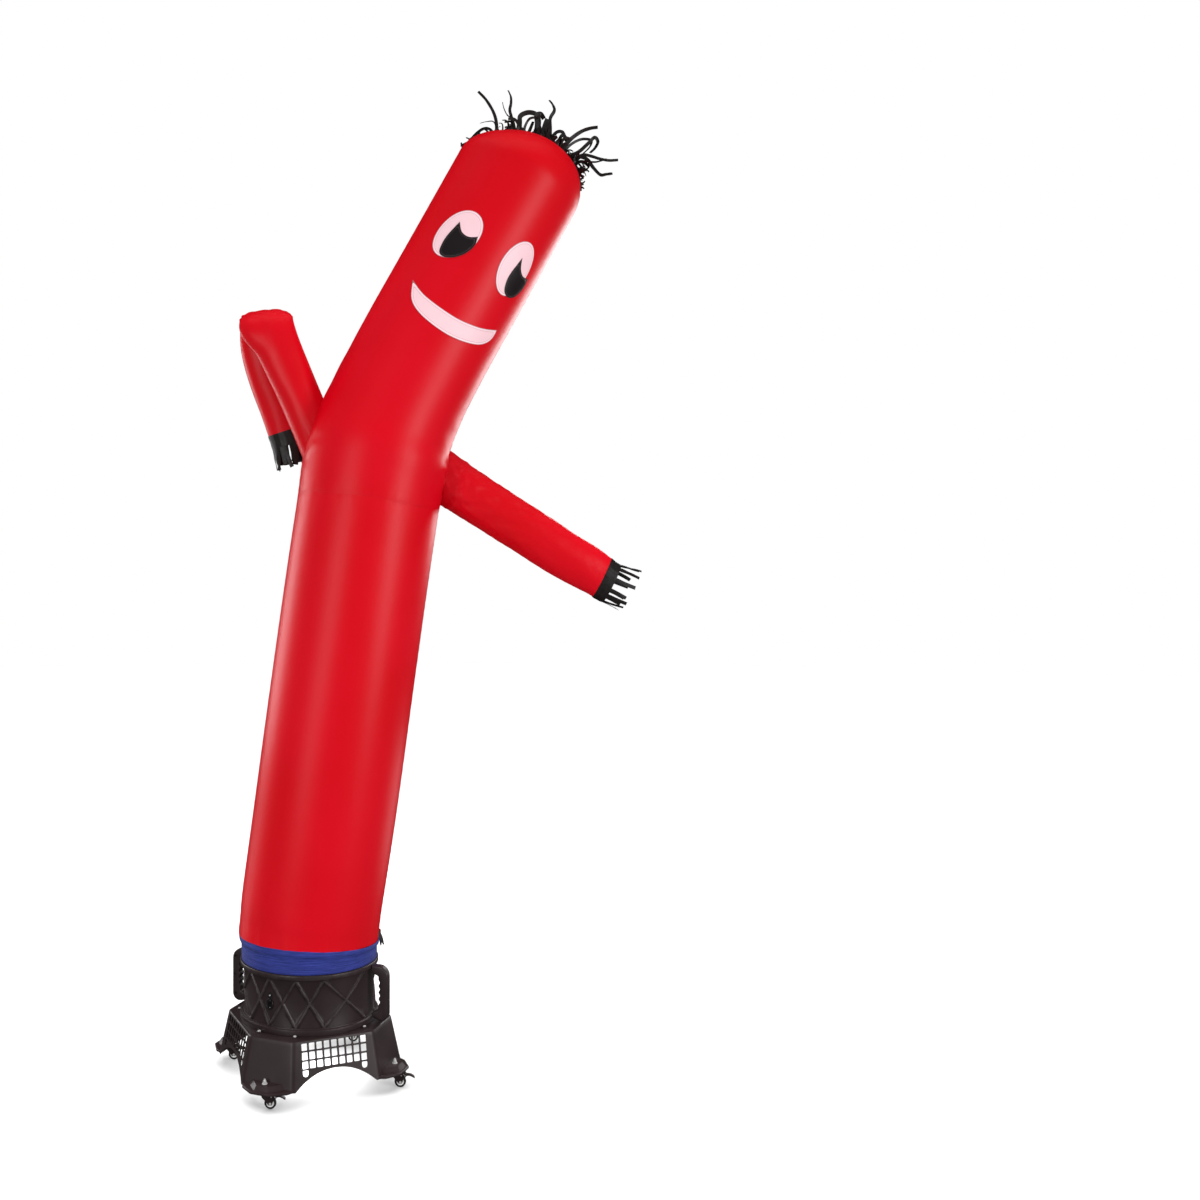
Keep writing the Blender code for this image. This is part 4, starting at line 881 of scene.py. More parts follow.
def make_arm(name, stations, guide, count, folds, body, free_share, cut=None):
    rows = arm_rows(stations, guide, count)
    skin = set_on_body(arm_skin(rows, folds), body, int(free_share * (count - 1)))
    if cut:
        skin = cut_aslant(skin, *cut)
    along = [0.0]
    for low, high in zip(skin, skin[1:]):
        along.append(along[-1] + (high[0] - low[0]).length)
    girth = math.tau * 0.066
    weave_rows = [[(girth * i / ARM_SIDES, s) for i in range(ARM_SIDES + 1)] for s in along]
    stitch_rows = []
    for s in along:
        line = []
        for i in range(ARM_SIDES + 1):
            gap = abs(math.remainder(math.tau * i / ARM_SIDES - math.pi, math.tau)) * 0.066
            cross = min(s, along[-1] - s + 0.002)
            line.append((s, gap) if gap < cross else (girth * i / ARM_SIDES, cross))
        stitch_rows.append(line)
    return lay_cloth(name, skin, weave_rows, stitch_rows), skin


# ---- cut ribbons ----
class Ribbons:
    """Collects thin strips of cloth, each a few points wide, into one piece."""

    def __init__(self):
        self.points = []
        self.faces = []
        self.coords = []

    def strip(self, path, widths, cup=0.10):
        """path holds (point, width direction); the strip is cupped a little across."""
        start = len(self.points)
        along = 0.0
        marks = []
        for n, (point, across) in enumerate(path):
            if n:
                along += (point - path[n - 1][0]).length
            run = path[min(n + 1, len(path) - 1)][0] - path[max(0, n - 1)][0]
            normal = run.normalized().cross(across)
            for share in (-1.0, 0.0, 1.0):
                half = 0.5 * widths[n]
                self.points.append(point + across * half * share + normal * half * cup * abs(share))
                marks.append((half * (share + 1.0), along))
        for n in range(len(path) - 1):
            for i in (0, 1):
                a = 3 * n + i
                quad = (a, a + 1, a + 4, a + 3)
                self.faces.append([start + q for q in quad])
                self.coords += [marks[q] for q in quad]

    def patch(self, rows):
        """An open or closed run of rows that is already laid out."""
        start = len(self.points)
        width = len(rows[0])
        for row in rows:
            self.points += row
        for r in range(len(rows) - 1):
            for i in range(width - 1):
                a = r * width + i
                self.faces.append([start + q for q in (a, a + 1, a + width + 1, a + width)])
                self.coords += [(0.002 * i, 0.002 * r)] * 4

    def piece(self, name, thickness):
        mesh = bpy.data.meshes.new(name)
        mesh.from_pydata([AXIS + p for p in self.points], [], self.faces)
        for layer in ("weave", "stitch"):
            for loop, uv in zip(mesh.uv_layers.new(name=layer).data, self.coords):
                loop.uv = uv
        made = bpy.data.objects.new(name, mesh)
        bpy.context.scene.collection.objects.link(made)
        return thicken(made, thickness, 0.0)


def turned(vector, axis, degrees):
    return Matrix.Rotation(math.radians(degrees), 3, axis) @ vector


def smooth_path(points, count):
    return [Vector(p) for p in catmull([list(p) for p in points], count)]


def flagged(points, across, twist_deg, seed):
    """A path with a width direction at each point, twisting as it goes."""
    path = []
    for n, point in enumerate(points):
        run = (points[min(n + 1, len(points) - 1)] - points[max(0, n - 1)]).normalized()
        side = (across - run * across.dot(run)).normalized()
        wobble = 14.0 * noise.noise(Vector((seed, 0.35 * n, 0.0)))
        path.append((point, turned(side, run, twist_deg * n / (len(points) - 1) + wobble)))
    return path


def facing(points, start_deg, twist_deg, seed):
    """A path whose strip faces the front at 0 degrees, turning about its own run as it goes."""
    depth = Vector((0.0, 1.0, 0.0))
    side = Vector((1.0, 0.0, 0.0))
    path = []
    for n, point in enumerate(points):
        run = (points[min(n + 1, len(points) - 1)] - points[max(0, n - 1)]).normalized()
        flat = run.cross(depth)
        if flat.length > 0.2:
            side = flat.normalized()
        across = (side - run * side.dot(run)).normalized()
        wobble = 10.0 * noise.noise(Vector((seed, 0.35 * n, 0.0)))
        path.append((point, turned(across, run, start_deg + twist_deg * n / (len(points) - 1) + wobble)))
    return path


def crown_edge(degrees, lift, aside=0.0):
    """A point above the crown seam: 0 is the seam's left foot, 90 its top, 180 its right foot."""
    step = degrees if degrees <= 90.0 else 180.0 - degrees
    side = -1.0 if degrees <= 90.0 else 1.0
    x, z, wide, _, lean_deg, _ = crown_row(step)
    lean = math.radians(lean_deg)
    across = Vector((math.cos(lean), 0.0, -math.sin(lean)))
    up = Vector((math.sin(lean), 0.0, math.cos(lean)))
    s = math.radians(step)
    return Vector((x, aside, z)) + across * side * (wide + lift * math.cos(s)) + up * lift * math.sin(s)


# The longest ribbons of hair: width in mm, degrees turned from the front at the root, twist in degrees,
# depth at the tip in mm, then (x, z) in mm from the seam outwards.
LONG_RIBBONS = [
    (10.9, 5, 10, -12, [(639, 3205), (636, 3239), (625, 3273), (601, 3311), (574, 3338)]),
    (6.1, 30, 30, 6, [(639, 3212), (629, 3239), (605, 3242), (581, 3237)]),
    (5.8, 20, 40, -20, [(704, 3212), (694, 3242), (673, 3259), (661, 3280), (656, 3299)]),
    (10.6, 0, 50, 10, [(694, 3208), (690, 3249), (683, 3280), (687, 3304), (687, 3328), (678, 3351)]),
    (9.5, 10, -25, -14, [(629, 3202), (615, 3213), (595, 3215), (574, 3202), (554, 3181),
         (538, 3157), (513, 3133)]),
    (6.8, 25, 20, 12, [(619, 3198), (605, 3210), (591, 3217), (574, 3198), (561, 3181)]),
    (6.1, 0, 40, 8, [(605, 3195), (591, 3191), (578, 3181), (561, 3164)]),
    (6.1, 30, 20, 9, [(656, 3205), (659, 3222), (656, 3236), (646, 3239)]),
    (8.2, 15, 30, -8, [(673, 3205), (678, 3225), (671, 3241), (656, 3242)]),
    (9.5, 0, 30, 14, [(690, 3205), (695, 3225), (687, 3244), (666, 3244)]),
    (10.2, 10, -30, -10, [(707, 3205), (711, 3229), (697, 3246), (676, 3246)]),
    (15.7, 10, 25, -8, [(717, 3202), (716, 3236), (719, 3259), (745, 3270), (772, 3263),
         (782, 3239), (779, 3205)]),
    (17.0, 0, 20, 16, [(772, 3188), (777, 3232), (775, 3263), (789, 3271), (801, 3256)]),
    (8.9, 20, 10, -22, [(728, 3202), (734, 3222), (748, 3244), (768, 3246)]),
    (10.9, 0, -25, 4, [(745, 3195), (755, 3222), (763, 3242)]),
    (17.7, 5, 12, -14, [(782, 3181), (782, 3212), (772, 3242)]),
    (20.4, 0, 15, -4, [(803, 3171), (799, 3208), (811, 3248)]),
    (17.0, 12, -20, 12, [(820, 3164), (813, 3205), (818, 3242)]),
    (12.4, 5, 40, 8, [(823, 3164), (820, 3219), (821, 3253), (835, 3280), (830, 3300), (818, 3317)]),
    (10.9, 0, 35, -12, [(826, 3157), (826, 3184), (843, 3203), (861, 3202), (871, 3184), (884, 3178)]),
    (12.3, 15, 25, 12, [(847, 3144), (850, 3174), (864, 3198), (878, 3178)]),
    (13.0, 5, 45, -16, [(854, 3137), (878, 3167), (901, 3188), (929, 3205), (956, 3213), (980, 3215)]),
    (8.9, 20, 30, 14, [(861, 3133), (888, 3161), (915, 3178), (939, 3184), (963, 3179),
         (956, 3157), (935, 3137)]),
    (11.6, 0, 40, -18, [(871, 3120), (912, 3133), (949, 3164), (970, 3183), (981, 3167),
         (970, 3144), (953, 3127)]),
    (10.2, 0, 8, 6, [(874, 3116), (905, 3118), (935, 3128), (963, 3123), (990, 3115),
         (1021, 3110), (1053, 3112)]),
    (6.8, 30, 30, -20, [(891, 3096), (932, 3103), (973, 3098), (1009, 3106)]),
    (13.0, 5, -35, -10, [(888, 3103), (918, 3120), (946, 3110), (966, 3082), (990, 3057),
         (1010, 3058), (1031, 3060)]),
    (10.2, 20, 60, 18, [(895, 3092), (929, 3106), (953, 3089), (929, 3079), (912, 3099)]),
    (8.9, 0, 50, 10, [(901, 3082), (912, 3069), (918, 3038)]),
    (10.2, 15, 30, -14, [(905, 3072), (918, 3058), (934, 3046)]),
    (7.5, 0, 20, 5, [(915, 3028), (922, 3021), (929, 3018)]),
]
# The short ribbons: from and to round the seam in degrees, count, shortest and longest, narrowest and widest,
# least and most curl over the whole length in degrees, and how far they stray from upright.
SHORT_RIBBONS = [
    (8.0, 45.0, 9, 0.014, 0.028, 0.0050, 0.0080, 60.0, 130.0, 0.9),
    (45.0, 66.0, 14, 0.020, 0.036, 0.0055, 0.0080, 90.0, 170.0, 0.5),
    (60.0, 112.0, 46, 0.016, 0.034, 0.0080, 0.0140, 20.0, 110.0, 0.6),
    (84.0, 112.0, 18, 0.030, 0.046, 0.0090, 0.0150, 15.0, 70.0, 0.5),
    (112.0, 139.0, 40, 0.024, 0.062, 0.0050, 0.0085, 60.0, 230.0, 0.9),
    (139.0, 153.0, 6, 0.012, 0.022, 0.0050, 0.0075, 30.0, 90.0, 0.7),
]
SHORT_STEPS = 10
RIBBON_FULLNESS = 1.15
HAIR_FOOT_DEG = 7.0
HAIR_END_DEG = 155.0


def make_hair(body):
    """A doubled strip sewn over the crown's seam, its edge cut into ribbons that curl every way."""
    chance = random.Random(11)
    out = Ribbons()
    marks = spread(HAIR_FOOT_DEG, HAIR_END_DEG, 120)
    for side in (-1.0, 1.0):
        rows = []
        for lift, aside in ((-4.0 * MM, 4.6 * MM), (0.5 * MM, 2.2 * MM), (3.5 * MM, 1.0 * MM),
                            (6.5 * MM, 1.2 * MM)):
            rows.append([crown_edge(d, lift + 0.6 * MM * noise.noise(Vector((d * 0.4, lift * 90.0, side))),
                                    side * aside) for d in marks])
        out.patch(rows)
    depth = Vector((0.0, 1.0, 0.0))
    for n, (width, start, twist, deep, places) in enumerate(LONG_RIBBONS):
        first = Vector((places[0][0] * MM, 0.0, places[0][1] * MM))
        root = min((crown_edge(d, 2.0 * MM) for d in marks), key=lambda p: (p - first).length)
        points = [root] + [Vector((x * MM, deep * MM * (i + 1) / (len(places) - 1), z * MM))
                           for i, (x, z) in enumerate(places[1:])]
        points = smooth_path(points, 7 * (len(places) - 1) + 1)
        full = RIBBON_FULLNESS * width * MM
        widths = [full * (1.0 - 0.25 * i / (len(points) - 1)) for i in range(len(points))]
        out.strip(facing(points, start, twist, n + 0.5), widths, 0.04)
    for low, high, count, short, long, narrow, wide, least, most, stray in SHORT_RIBBONS:
        for n in range(count):
            degrees = low + (high - low) * (n + chance.uniform(0.1, 0.9)) / count
            outward = (crown_edge(degrees, 0.02) - crown_edge(degrees, 0.0)).normalized()
            along = (crown_edge(degrees + 1.0, 0.0) - crown_edge(degrees - 1.0, 0.0)).normalized()
            way = (outward + along * chance.uniform(-stray, stray)
                   + depth * chance.uniform(-stray, stray)).normalized()
            axis = (depth * chance.choice((-1.0, 1.0)) + along * chance.uniform(-0.4, 0.4)).normalized()
            step = chance.uniform(short, long) / SHORT_STEPS
            curl = chance.uniform(least, most) / SHORT_STEPS
            points = [crown_edge(degrees, 3.0 * MM, chance.uniform(-1.5, 1.5) * MM)]
            for i in range(SHORT_STEPS):
                way = turned(way, axis, curl * (0.4 + 1.2 * i / SHORT_STEPS))
                point = points[-1] + way * step
                near, normal, _, _ = body.find_nearest(point)
                if (point - near).dot(normal) < 2.0 * MM:
                    point = near + normal * 2.0 * MM
                points.append(point)
            width = chance.uniform(narrow, wide)
            widths = [width * (1.0 - 0.2 * i / SHORT_STEPS) for i in range(SHORT_STEPS + 1)]
            start, twist = chance.uniform(-35.0, 35.0), chance.uniform(-60.0, 60.0)
            out.strip(facing(points, start, twist, n), widths, 0.06)
    return out.piece("hair", 0.7 * MM)


# Cuff rings: how far beyond the arm's end, how far drawn in, and how far off the cloth in mm.
CUFF = [(-0.007, 1.0, 0.9), (0.0, 1.0, 1.1), (0.010, 0.99, 0.4), (0.020, 0.975, 0.9), (0.030, 0.965, 0.3)]


def make_hand(name, skin, heading, cuff, length, splay, count, widest, seed):
    """A black cuff sewn over an arm's end, its edge cut into ribbons."""
    chance = random.Random(seed)
    end, before = skin[-1], skin[-2]
    sides = len(end)
    centre = sum(end, Vector()) / sides
    run = (centre - sum(before, Vector()) / sides).normalized()
    heading = heading.normalized()
    rows = []
    for along, draw, lift in CUFF:
        along *= cuff / CUFF[-1][0]
        lean = run.lerp(heading, 0.5 * max(0.0, along) / cuff)
        ring = []
        for k, p in enumerate(end):
            out = (p - centre).normalized()
            turn = math.tau * k / sides
            place = Vector((math.cos(turn) * 6.0, math.sin(turn) * 6.0, along * 60.0 + seed))
            ripple = 0.9 * MM * noise.noise(place)
            ring.append(centre + (p - centre) * draw + out * (lift * MM + ripple) + lean * along)
        ring.append(ring[0])
        rows.append(ring)
    out = Ribbons()
    out.patch(rows)
    edge = rows[-1]
    middle = sum(edge[:-1], Vector()) / sides
    for n in range(count):
        at = (n + chance.uniform(0.3, 0.7)) / count * sides
        low = int(at)
        root = edge[low].lerp(edge[(low + 1) % sides], at - low)
        across = (edge[(low + 2) % sides] - edge[low - 2]).normalized()
        away = root - middle
        way = (heading + away * splay / 0.07
               + Vector([chance.uniform(-0.07, 0.07) for _ in range(3)])).normalized()
        curl_axis = Vector([chance.uniform(-1.0, 1.0) for _ in range(3)]).normalized()
        curl = chance.uniform(-2.0, 2.0)
        steps = 9
        step = length * chance.uniform(0.82, 1.06) / steps
        points = [root - heading * 0.003]
        for i in range(steps):
            way = turned(way, curl_axis, curl)
            points.append(points[-1] + way * step)
        width = widest * chance.uniform(0.84, 1.0)
        widths = [width * (1.0 - 0.12 * i / steps) for i in range(steps + 1)]
        out.strip(flagged(points, across, chance.uniform(-9.0, 9.0), n + seed), widths, 0.12)
    return out.piece(name, 0.9 * MM)


# ---- sewn patches ----
# Each outline is made of smooth runs that meet at corners: (across, up) on the head, in metres.
EYES = {
    # name:            across,  up,     half width, half height, tilt
    "eye_white_left": (-0.0713, 0.3158, 0.0683, 0.0928, 23.5),
    "eye_white_right": (0.1611, 0.3224, 0.0623, 0.0979, 4.4),
}
PUPILS = {
    "pupil_left": [
        [(-0.0839, 0.3551), (-0.0604, 0.3278), (-0.0316, 0.3230), (-0.0060, 0.3366)],
        [(-0.0060, 0.3366), (-0.0022, 0.3032), (-0.0176, 0.2667), (-0.0454, 0.2398), (-0.0757, 0.2298),
         (-0.0960, 0.2396), (-0.1017, 0.2660), (-0.0993, 0.3011), (-0.0839, 0.3551)],
    ],
    "pupil_right": [
        [(0.1621, 0.3635), (0.1794, 0.3337), (0.2052, 0.3211), (0.2364, 0.3281)],
        [(0.2364, 0.3281), (0.2395, 0.2945), (0.2227, 0.2556), (0.1937, 0.2339), (0.1671, 0.2386),
         (0.1538, 0.2620), (0.1507, 0.2967), (0.1621, 0.3635)],
    ],
}
SMILE = [
    [(-0.1334, 0.1223), (-0.0593, 0.0892), (0.0486, 0.0762), (0.1434, 0.0933), (0.2263, 0.1292)],
    [(0.2263, 0.1292), (0.2205, 0.0873), (0.1812, 0.0492), (0.1097, 0.0226), (0.0384, 0.0148),
     (-0.0435, 0.0284), (-0.1003, 0.0612), (-0.1334, 0.1223)],
]


def oval(across, up, half_width, half_height, tilt_deg, count=110):
    t = math.radians(tilt_deg)
    points = []
    for i in range(count):
        a = math.tau * i / count
        u, v = half_width * math.cos(a), half_height * math.sin(a)
        points.append((across + u * math.cos(t) + v * math.sin(t), up - u * math.sin(t) + v * math.cos(t)))
    return points


def smooth_outline(runs):
    points = []
    for run in runs:
        points += [tuple(p) for p in catmull(run, 10 * (len(run) - 1))][:-1]
    return points


def on_head(across, up, lift, body):
    """A point of the head's cloth, found by looking in from the front."""
    r = HEAD_R_LOW + (HEAD_R_HIGH - HEAD_R_LOW) * up / HEAD_LENGTH
    turn = across / r
    sideways = Vector((math.cos(HEAD_LEAN), 0.0, -math.sin(HEAD_LEAN)))
    out = sideways * math.sin(turn) + Vector((0.0, -math.cos(turn), 0.0))
    start = head_point(up) + out * (r + 0.05)
    hit = body.ray_cast(start, -out, 0.12)[0]
    return hit + out * lift


def nearest_on(outline, lengths, p):
    """How far a point is from an outline, and where along it the nearest place is."""
    best = (1e9, 0.0)
    for i in range(len(outline)):
        a, b = Vector(outline[i]), Vector(outline[(i + 1) % len(outline)])
        t = max(0.0, min(1.0, (p - a).dot(b - a) / (b - a).length_squared))
        far = (p - a.lerp(b, t)).length
        if far < best[0]:
            best = (far, lengths[i] + t * (b - a).length)
    return best


def make_patch(name, outline, lift, body):
    """A patch cut flat and laid round the head, thin, with its distance from the cut edge as a UV map."""
    pitch = 7.0 * MM
    lengths = [0.0]
    for a, b in zip(outline, outline[1:]):
        lengths.append(lengths[-1] + math.dist(a, b))
    us, vs = [p[0] for p in outline], [p[1] for p in outline]
    grid = []
    for i in range(int((max(us) - min(us)) / pitch) + 1):
        for j in range(int((max(vs) - min(vs)) / pitch) + 1):
            p = Vector((min(us) + (i + 0.5) * pitch, min(vs) + (j + 0.5) * pitch))
            if nearest_on(outline, lengths, p)[0] > 2.5 * MM:
                grid.append(p)
    edges = [(i, (i + 1) % len(outline)) for i in range(len(outline))]
    points = [Vector(p) for p in outline] + grid
    flat, _, faces, *_ = delaunay_2d_cdt(points, edges, [list(range(len(outline)))], 1, 1e-6)
    used = sorted({i for f in faces for i in f})
    order = {i: n for n, i in enumerate(used)}
    mesh = bpy.data.meshes.new(name)
    laid = [AXIS + on_head(flat[i].x, flat[i].y, lift, body) for i in used]
    mesh.from_pydata(laid, [], [[order[i] for i in f] for f in faces])
    away = {i: nearest_on(outline, lengths, flat[i]) for i in used}
    flat_corners = [i for f in faces for i in f]
    weave_map = mesh.uv_layers.new(name="weave").data
    stitch_map = mesh.uv_layers.new(name="stitch").data
    for i, one, two in zip(flat_corners, weave_map, stitch_map):
        one.uv = flat[i]
        two.uv = (away[i][1], away[i][0])
    piece = bpy.data.objects.new(name, mesh)
    bpy.context.scene.collection.objects.link(piece)
    if sum(f.normal.y for f in mesh.polygons) > 0.0:
        mesh.flip_normals()
    return thicken(piece, 0.9 * MM, 1.0)


# ---- the band ----
def make_band():
    """The blue band: loose over the rim, drawn in over the hook tape, its edges turned in and sewn."""
    sides = 180
    profile = [(0.2272, 0.4030), (0.2286, 0.4012), (0.2298, 0.4020), (0.2300, 0.4060), (0.2296, 0.4110),
               (0.2300, 0.4170), (0.2297, 0.4225), (0.2301, 0.4280), (0.2298, 0.4335), (0.2301, 0.4390),
               (0.2299, 0.4450), (0.2303, 0.4510), (0.2320, 0.4560), (0.2352, 0.4600), (0.2370, 0.4640),
               (0.2376, 0.4690), (0.2378, 0.4735), (0.2375, 0.4775), (0.2368, 0.4800), (0.2356, 0.4802)]
    skin, weave_rows, stitch_rows = [], [], []
    for radius, z in profile:
        ring = []
        for i in range(sides):
            turn = math.tau * i / sides
            free = ease(z, 0.404, 0.412) * (1.0 - 0.6 * ease(z, 0.474, 0.479))
            ripple = 0.75 * MM * free * wander(turn, z, 12.0, 20.0, 7.0) + 0.5 * MM * free \
                * wander(turn, z, 4.0, 90.0, 9.0)
            sag = 1.2 * MM * wander(turn, 0.0, 3.0, 0.0, 15.0) * ease(z, 0.470, 0.480)
            r = radius + ripple
            dip = band_dip(math.sin(turn)) * ease(z, 0.420, 0.480)
            ring.append(Vector((r * math.sin(turn), -r * math.cos(turn), z + sag - dip)))
        skin.append(ring)
        weave_rows.append([(0.233 * math.tau * i / sides, z) for i in range(sides + 1)])
        stitch_rows.append([(0.233 * math.tau * i / sides, z - 0.4012) for i in range(sides + 1)])
    return thicken(lay_cloth("band_cloth", skin, weave_rows, stitch_rows), 1.1 * MM, -1.0)


def make_band_tail():
    """The strap's loose end, doubled and cut to a point, standing off the band."""
    out = Ribbons()
    for aside, tip, bend in ((-6.0, (0.2560, 0.4230), 0.004), (7.0, (0.2480, 0.4160), 0.002)):
        ends = [(0.2384, 0.4765), (0.2396, 0.4640), (0.2430 + bend, 0.4460), tip]
        points = smooth_path([polar(98.0, r, z, (aside + 5.0 * i) * MM) for i, (r, z) in enumerate(ends)], 14)
        widths = [14.0 * MM * (1.0 - 0.75 * max(0.0, (i - 8) / 5.0)) for i in range(14)]
        out.strip(flagged(points, polar(98.0, 0.75, 0.0, 0.66), 20.0, aside), widths)
    return out.piece("strap_tail", 1.3 * MM)


def make_dancer():
    lower_rows = body_rows(LOWER_STATIONS, 140)
    whole = row_lengths(lower_rows)[-1]
    lower, _ = make_tube("lower_tube", lower_rows, lambda turn, along, row: lower_lift(turn, along, whole),
                         (whole,), tied_foot=1.0)
    rows = upper_rows()
    lengths = row_lengths(rows)
    head_start = lengths[CHEST_AND_NECK_ROWS - 1]
    upper, _ = make_tube("upper_tube", rows,
                         lambda turn, along, row: upper_lift(turn, along, row, head_start), (0.0,))
    body = skin_tree([lower, upper])
    left, left_skin = make_arm("left_arm", ARM_LEFT, left_width, 120, left_folds, body, 0.36)
    right, right_skin = make_arm("right_arm", ARM_RIGHT, right_width, 84, right_folds, body, 0.34,
                                 cut=(0.009, 0.016, 0.012))
    hair = make_hair(body)
    left_hand = make_hand("left_fringe", left_skin, heading=Vector((0.17, 0.04, -1.0)), cuff=0.040,
                          length=0.078, splay=-0.06, count=22, widest=0.0185, seed=3)
    right_hand = make_hand("right_fringe", right_skin, heading=Vector((0.92, 0.0, -0.38)), cuff=0.034,
                           length=0.072, splay=0.04, count=12, widest=0.0150, seed=5)
    patches = {}
    for name, shape in EYES.items():
        patches[name] = make_patch(name.replace("eye_white", "white_of_eye"), oval(*shape), 0.3 * MM, body)
    for name, runs in PUPILS.items():
        patches[name] = make_patch(name.replace("pupil", "pupil_patch"), smooth_outline(runs), 1.4 * MM, body)
    patches["smile"] = make_patch("smile_patch", smooth_outline(SMILE), 0.3 * MM, body)
    for piece in (lower, upper, left, right):
        thicken(piece, CLOTH)
    band = make_band()
    tail = make_band_tail()
    for piece, paint, node in (
            (lower, "red_cloth", "tube_lower"), (upper, "red_cloth", "tube_upper"),
            (left, "red_cloth", "arm_left"), (right, "red_cloth", "arm_right"),
            (hair, "black_cloth", "hair_fringe"), (left_hand, "black_cloth", "hand_fringe_left"),
            (right_hand, "black_cloth", "hand_fringe_right"), (band, "blue_band", "base_band"),
            (tail, "black_strap", "band_tail")):
        finish(piece, paint, stands_for=(node,))
    for name, piece in patches.items():
        dark = name.startswith("pupil")
        finish(piece, "pupil" if dark else "white_cloth",
               stands_for=(name,))


# ---- the blower's mouldings ----
CORNER_DEG = -22.4           # front foot, measured from -Y towards +X
DUCT_R = 0.2145
PANEL_R = 0.2235
WAIST = 0.006                # how far the lattice panels draw in at mid height
RIB_PROUD = 0.0052
RIB_HALF = 0.0050
RING_R = 0.2345
COLLAR_R = 0.2245
RIM_R = 0.2335
DRUM_LOW_Z = 0.2053
LATTICE_LOW_Z = 0.2290
LATTICE_HIGH_Z = 0.3810
COLLAR_LOW_Z = 0.4005
COLLAR_HIGH_Z = 0.4600
RIM_TOP_Z = 0.4785
APEX_DEG = (-78.0, -32.5, -8.9, 15.3, 38.6, 80.0)      # lattice apexes each side of a foot's direction
# A rib's section: distance from its middle in half widths, and height share.
RIB_SECTION = ((0.0, 1.0), (0.42, 1.0), (0.60, 0.90), (1.0, 0.12), (1.18, 0.0))


def rib_height(distance):
    """The rib's height share at a distance from its middle, in half widths."""
    for (d0, h0), (d1, h1) in zip(RIB_SECTION, RIB_SECTION[1:]):
        if distance <= d1:
            return h0 + (h1 - h0) * (distance - d0) / (d1 - d0)
    return 0.0


def lattice_marks(u, w):
    """Heights up one column from -1 to 1, dense over the ribs, and the rib height share at each."""
    a = abs(u)
    steps = [s for s, _ in RIB_SECTION[1:]]
    lines = [-a - w * s for s in steps[::-1]] + [-a] + [-a + w * s for s in steps]
    lines = [max(-1.0, min(0.0, v)) for v in lines]
    low = spread(-1.0, lines[0], 4)[:-1] + lines + spread(lines[-1], 0.0, 4)[1:]
    marks = low + [-v for v in low[::-1]][1:]
    return [(v, rib_height(min(abs(v + a), abs(v - a)) / w)) for v in marks]


def lattice_columns():
    columns = []
    reach = 0.5 * (LATTICE_HIGH_Z - LATTICE_LOW_Z)
    for half in (0.0, 180.0):
        for left, right in zip(APEX_DEG, APEX_DEG[1:]):
            span = 0.5 * math.radians(right - left) * PANEL_R
            w = RIB_HALF * math.hypot(1.0 / span, 1.0 / reach)
            inner = [w * s for s, _ in RIB_SECTION]
            outer = [1.0 - w * s for s, _ in RIB_SECTION[::-1]]
            gap = outer[0] - inner[-1]
            between = max(2, round(gap * 0.5 * (right - left) / 2.6))
            positive = inner + spread(inner[-1], outer[0], between + 1)[1:-1] + outer
            shares = [-u for u in positive[::-1]] + positive[1:]
            for u in shares[:-1]:
                deg = CORNER_DEG + half + 0.5 * (left + right) + 0.5 * u * (right - left)
                columns.append((deg, lattice_marks(u, w)))
        w = RIB_HALF * math.hypot(1.0 / span, 1.0 / reach)
        end = CORNER_DEG + half
        columns.append((end + APEX_DEG[-1], lattice_marks(1.0, w)))
        marks = [(v, 0.0) for v, _ in lattice_marks(1.0, w)]
        first, last = APEX_DEG[-1], APEX_DEG[0] + 180.0
        fade = [rib for _, rib in lattice_marks(1.0, w)]
        for share in RIB_SECTION[2:]:
            aside = math.degrees(RIB_HALF * share[0] / PANEL_R) * 1.3
            columns.append((end + first + aside, [(v, h * share[1]) for (v, _), h in zip(marks, fade)]))
        for deg in spread(first, last, 10)[1:-1]:
            columns.append((end + deg, marks))
        for share in RIB_SECTION[:1:-1]:
            aside = math.degrees(RIB_HALF * share[0] / PANEL_R) * 1.3
            columns.append((end + last - aside, [(v, h * share[1]) for (v, _), h in zip(marks, fade)]))
    return sorted(columns, key=lambda c: c[0])


def ring_seams(deg, z):
    """Thin upright mould lines on the lower ring, below two of the lattice's apexes."""
    for mark in (APEX_DEG[2], APEX_DEG[3], APEX_DEG[2] + 180.0, APEX_DEG[3] + 180.0):
        gap = abs(math.remainder(deg - CORNER_DEG - mark, 360.0))
        if gap < 0.45 and DRUM_LOW_Z + 0.002 < z < LATTICE_LOW_Z - 0.003:
            return 0.0011
    return 0.0


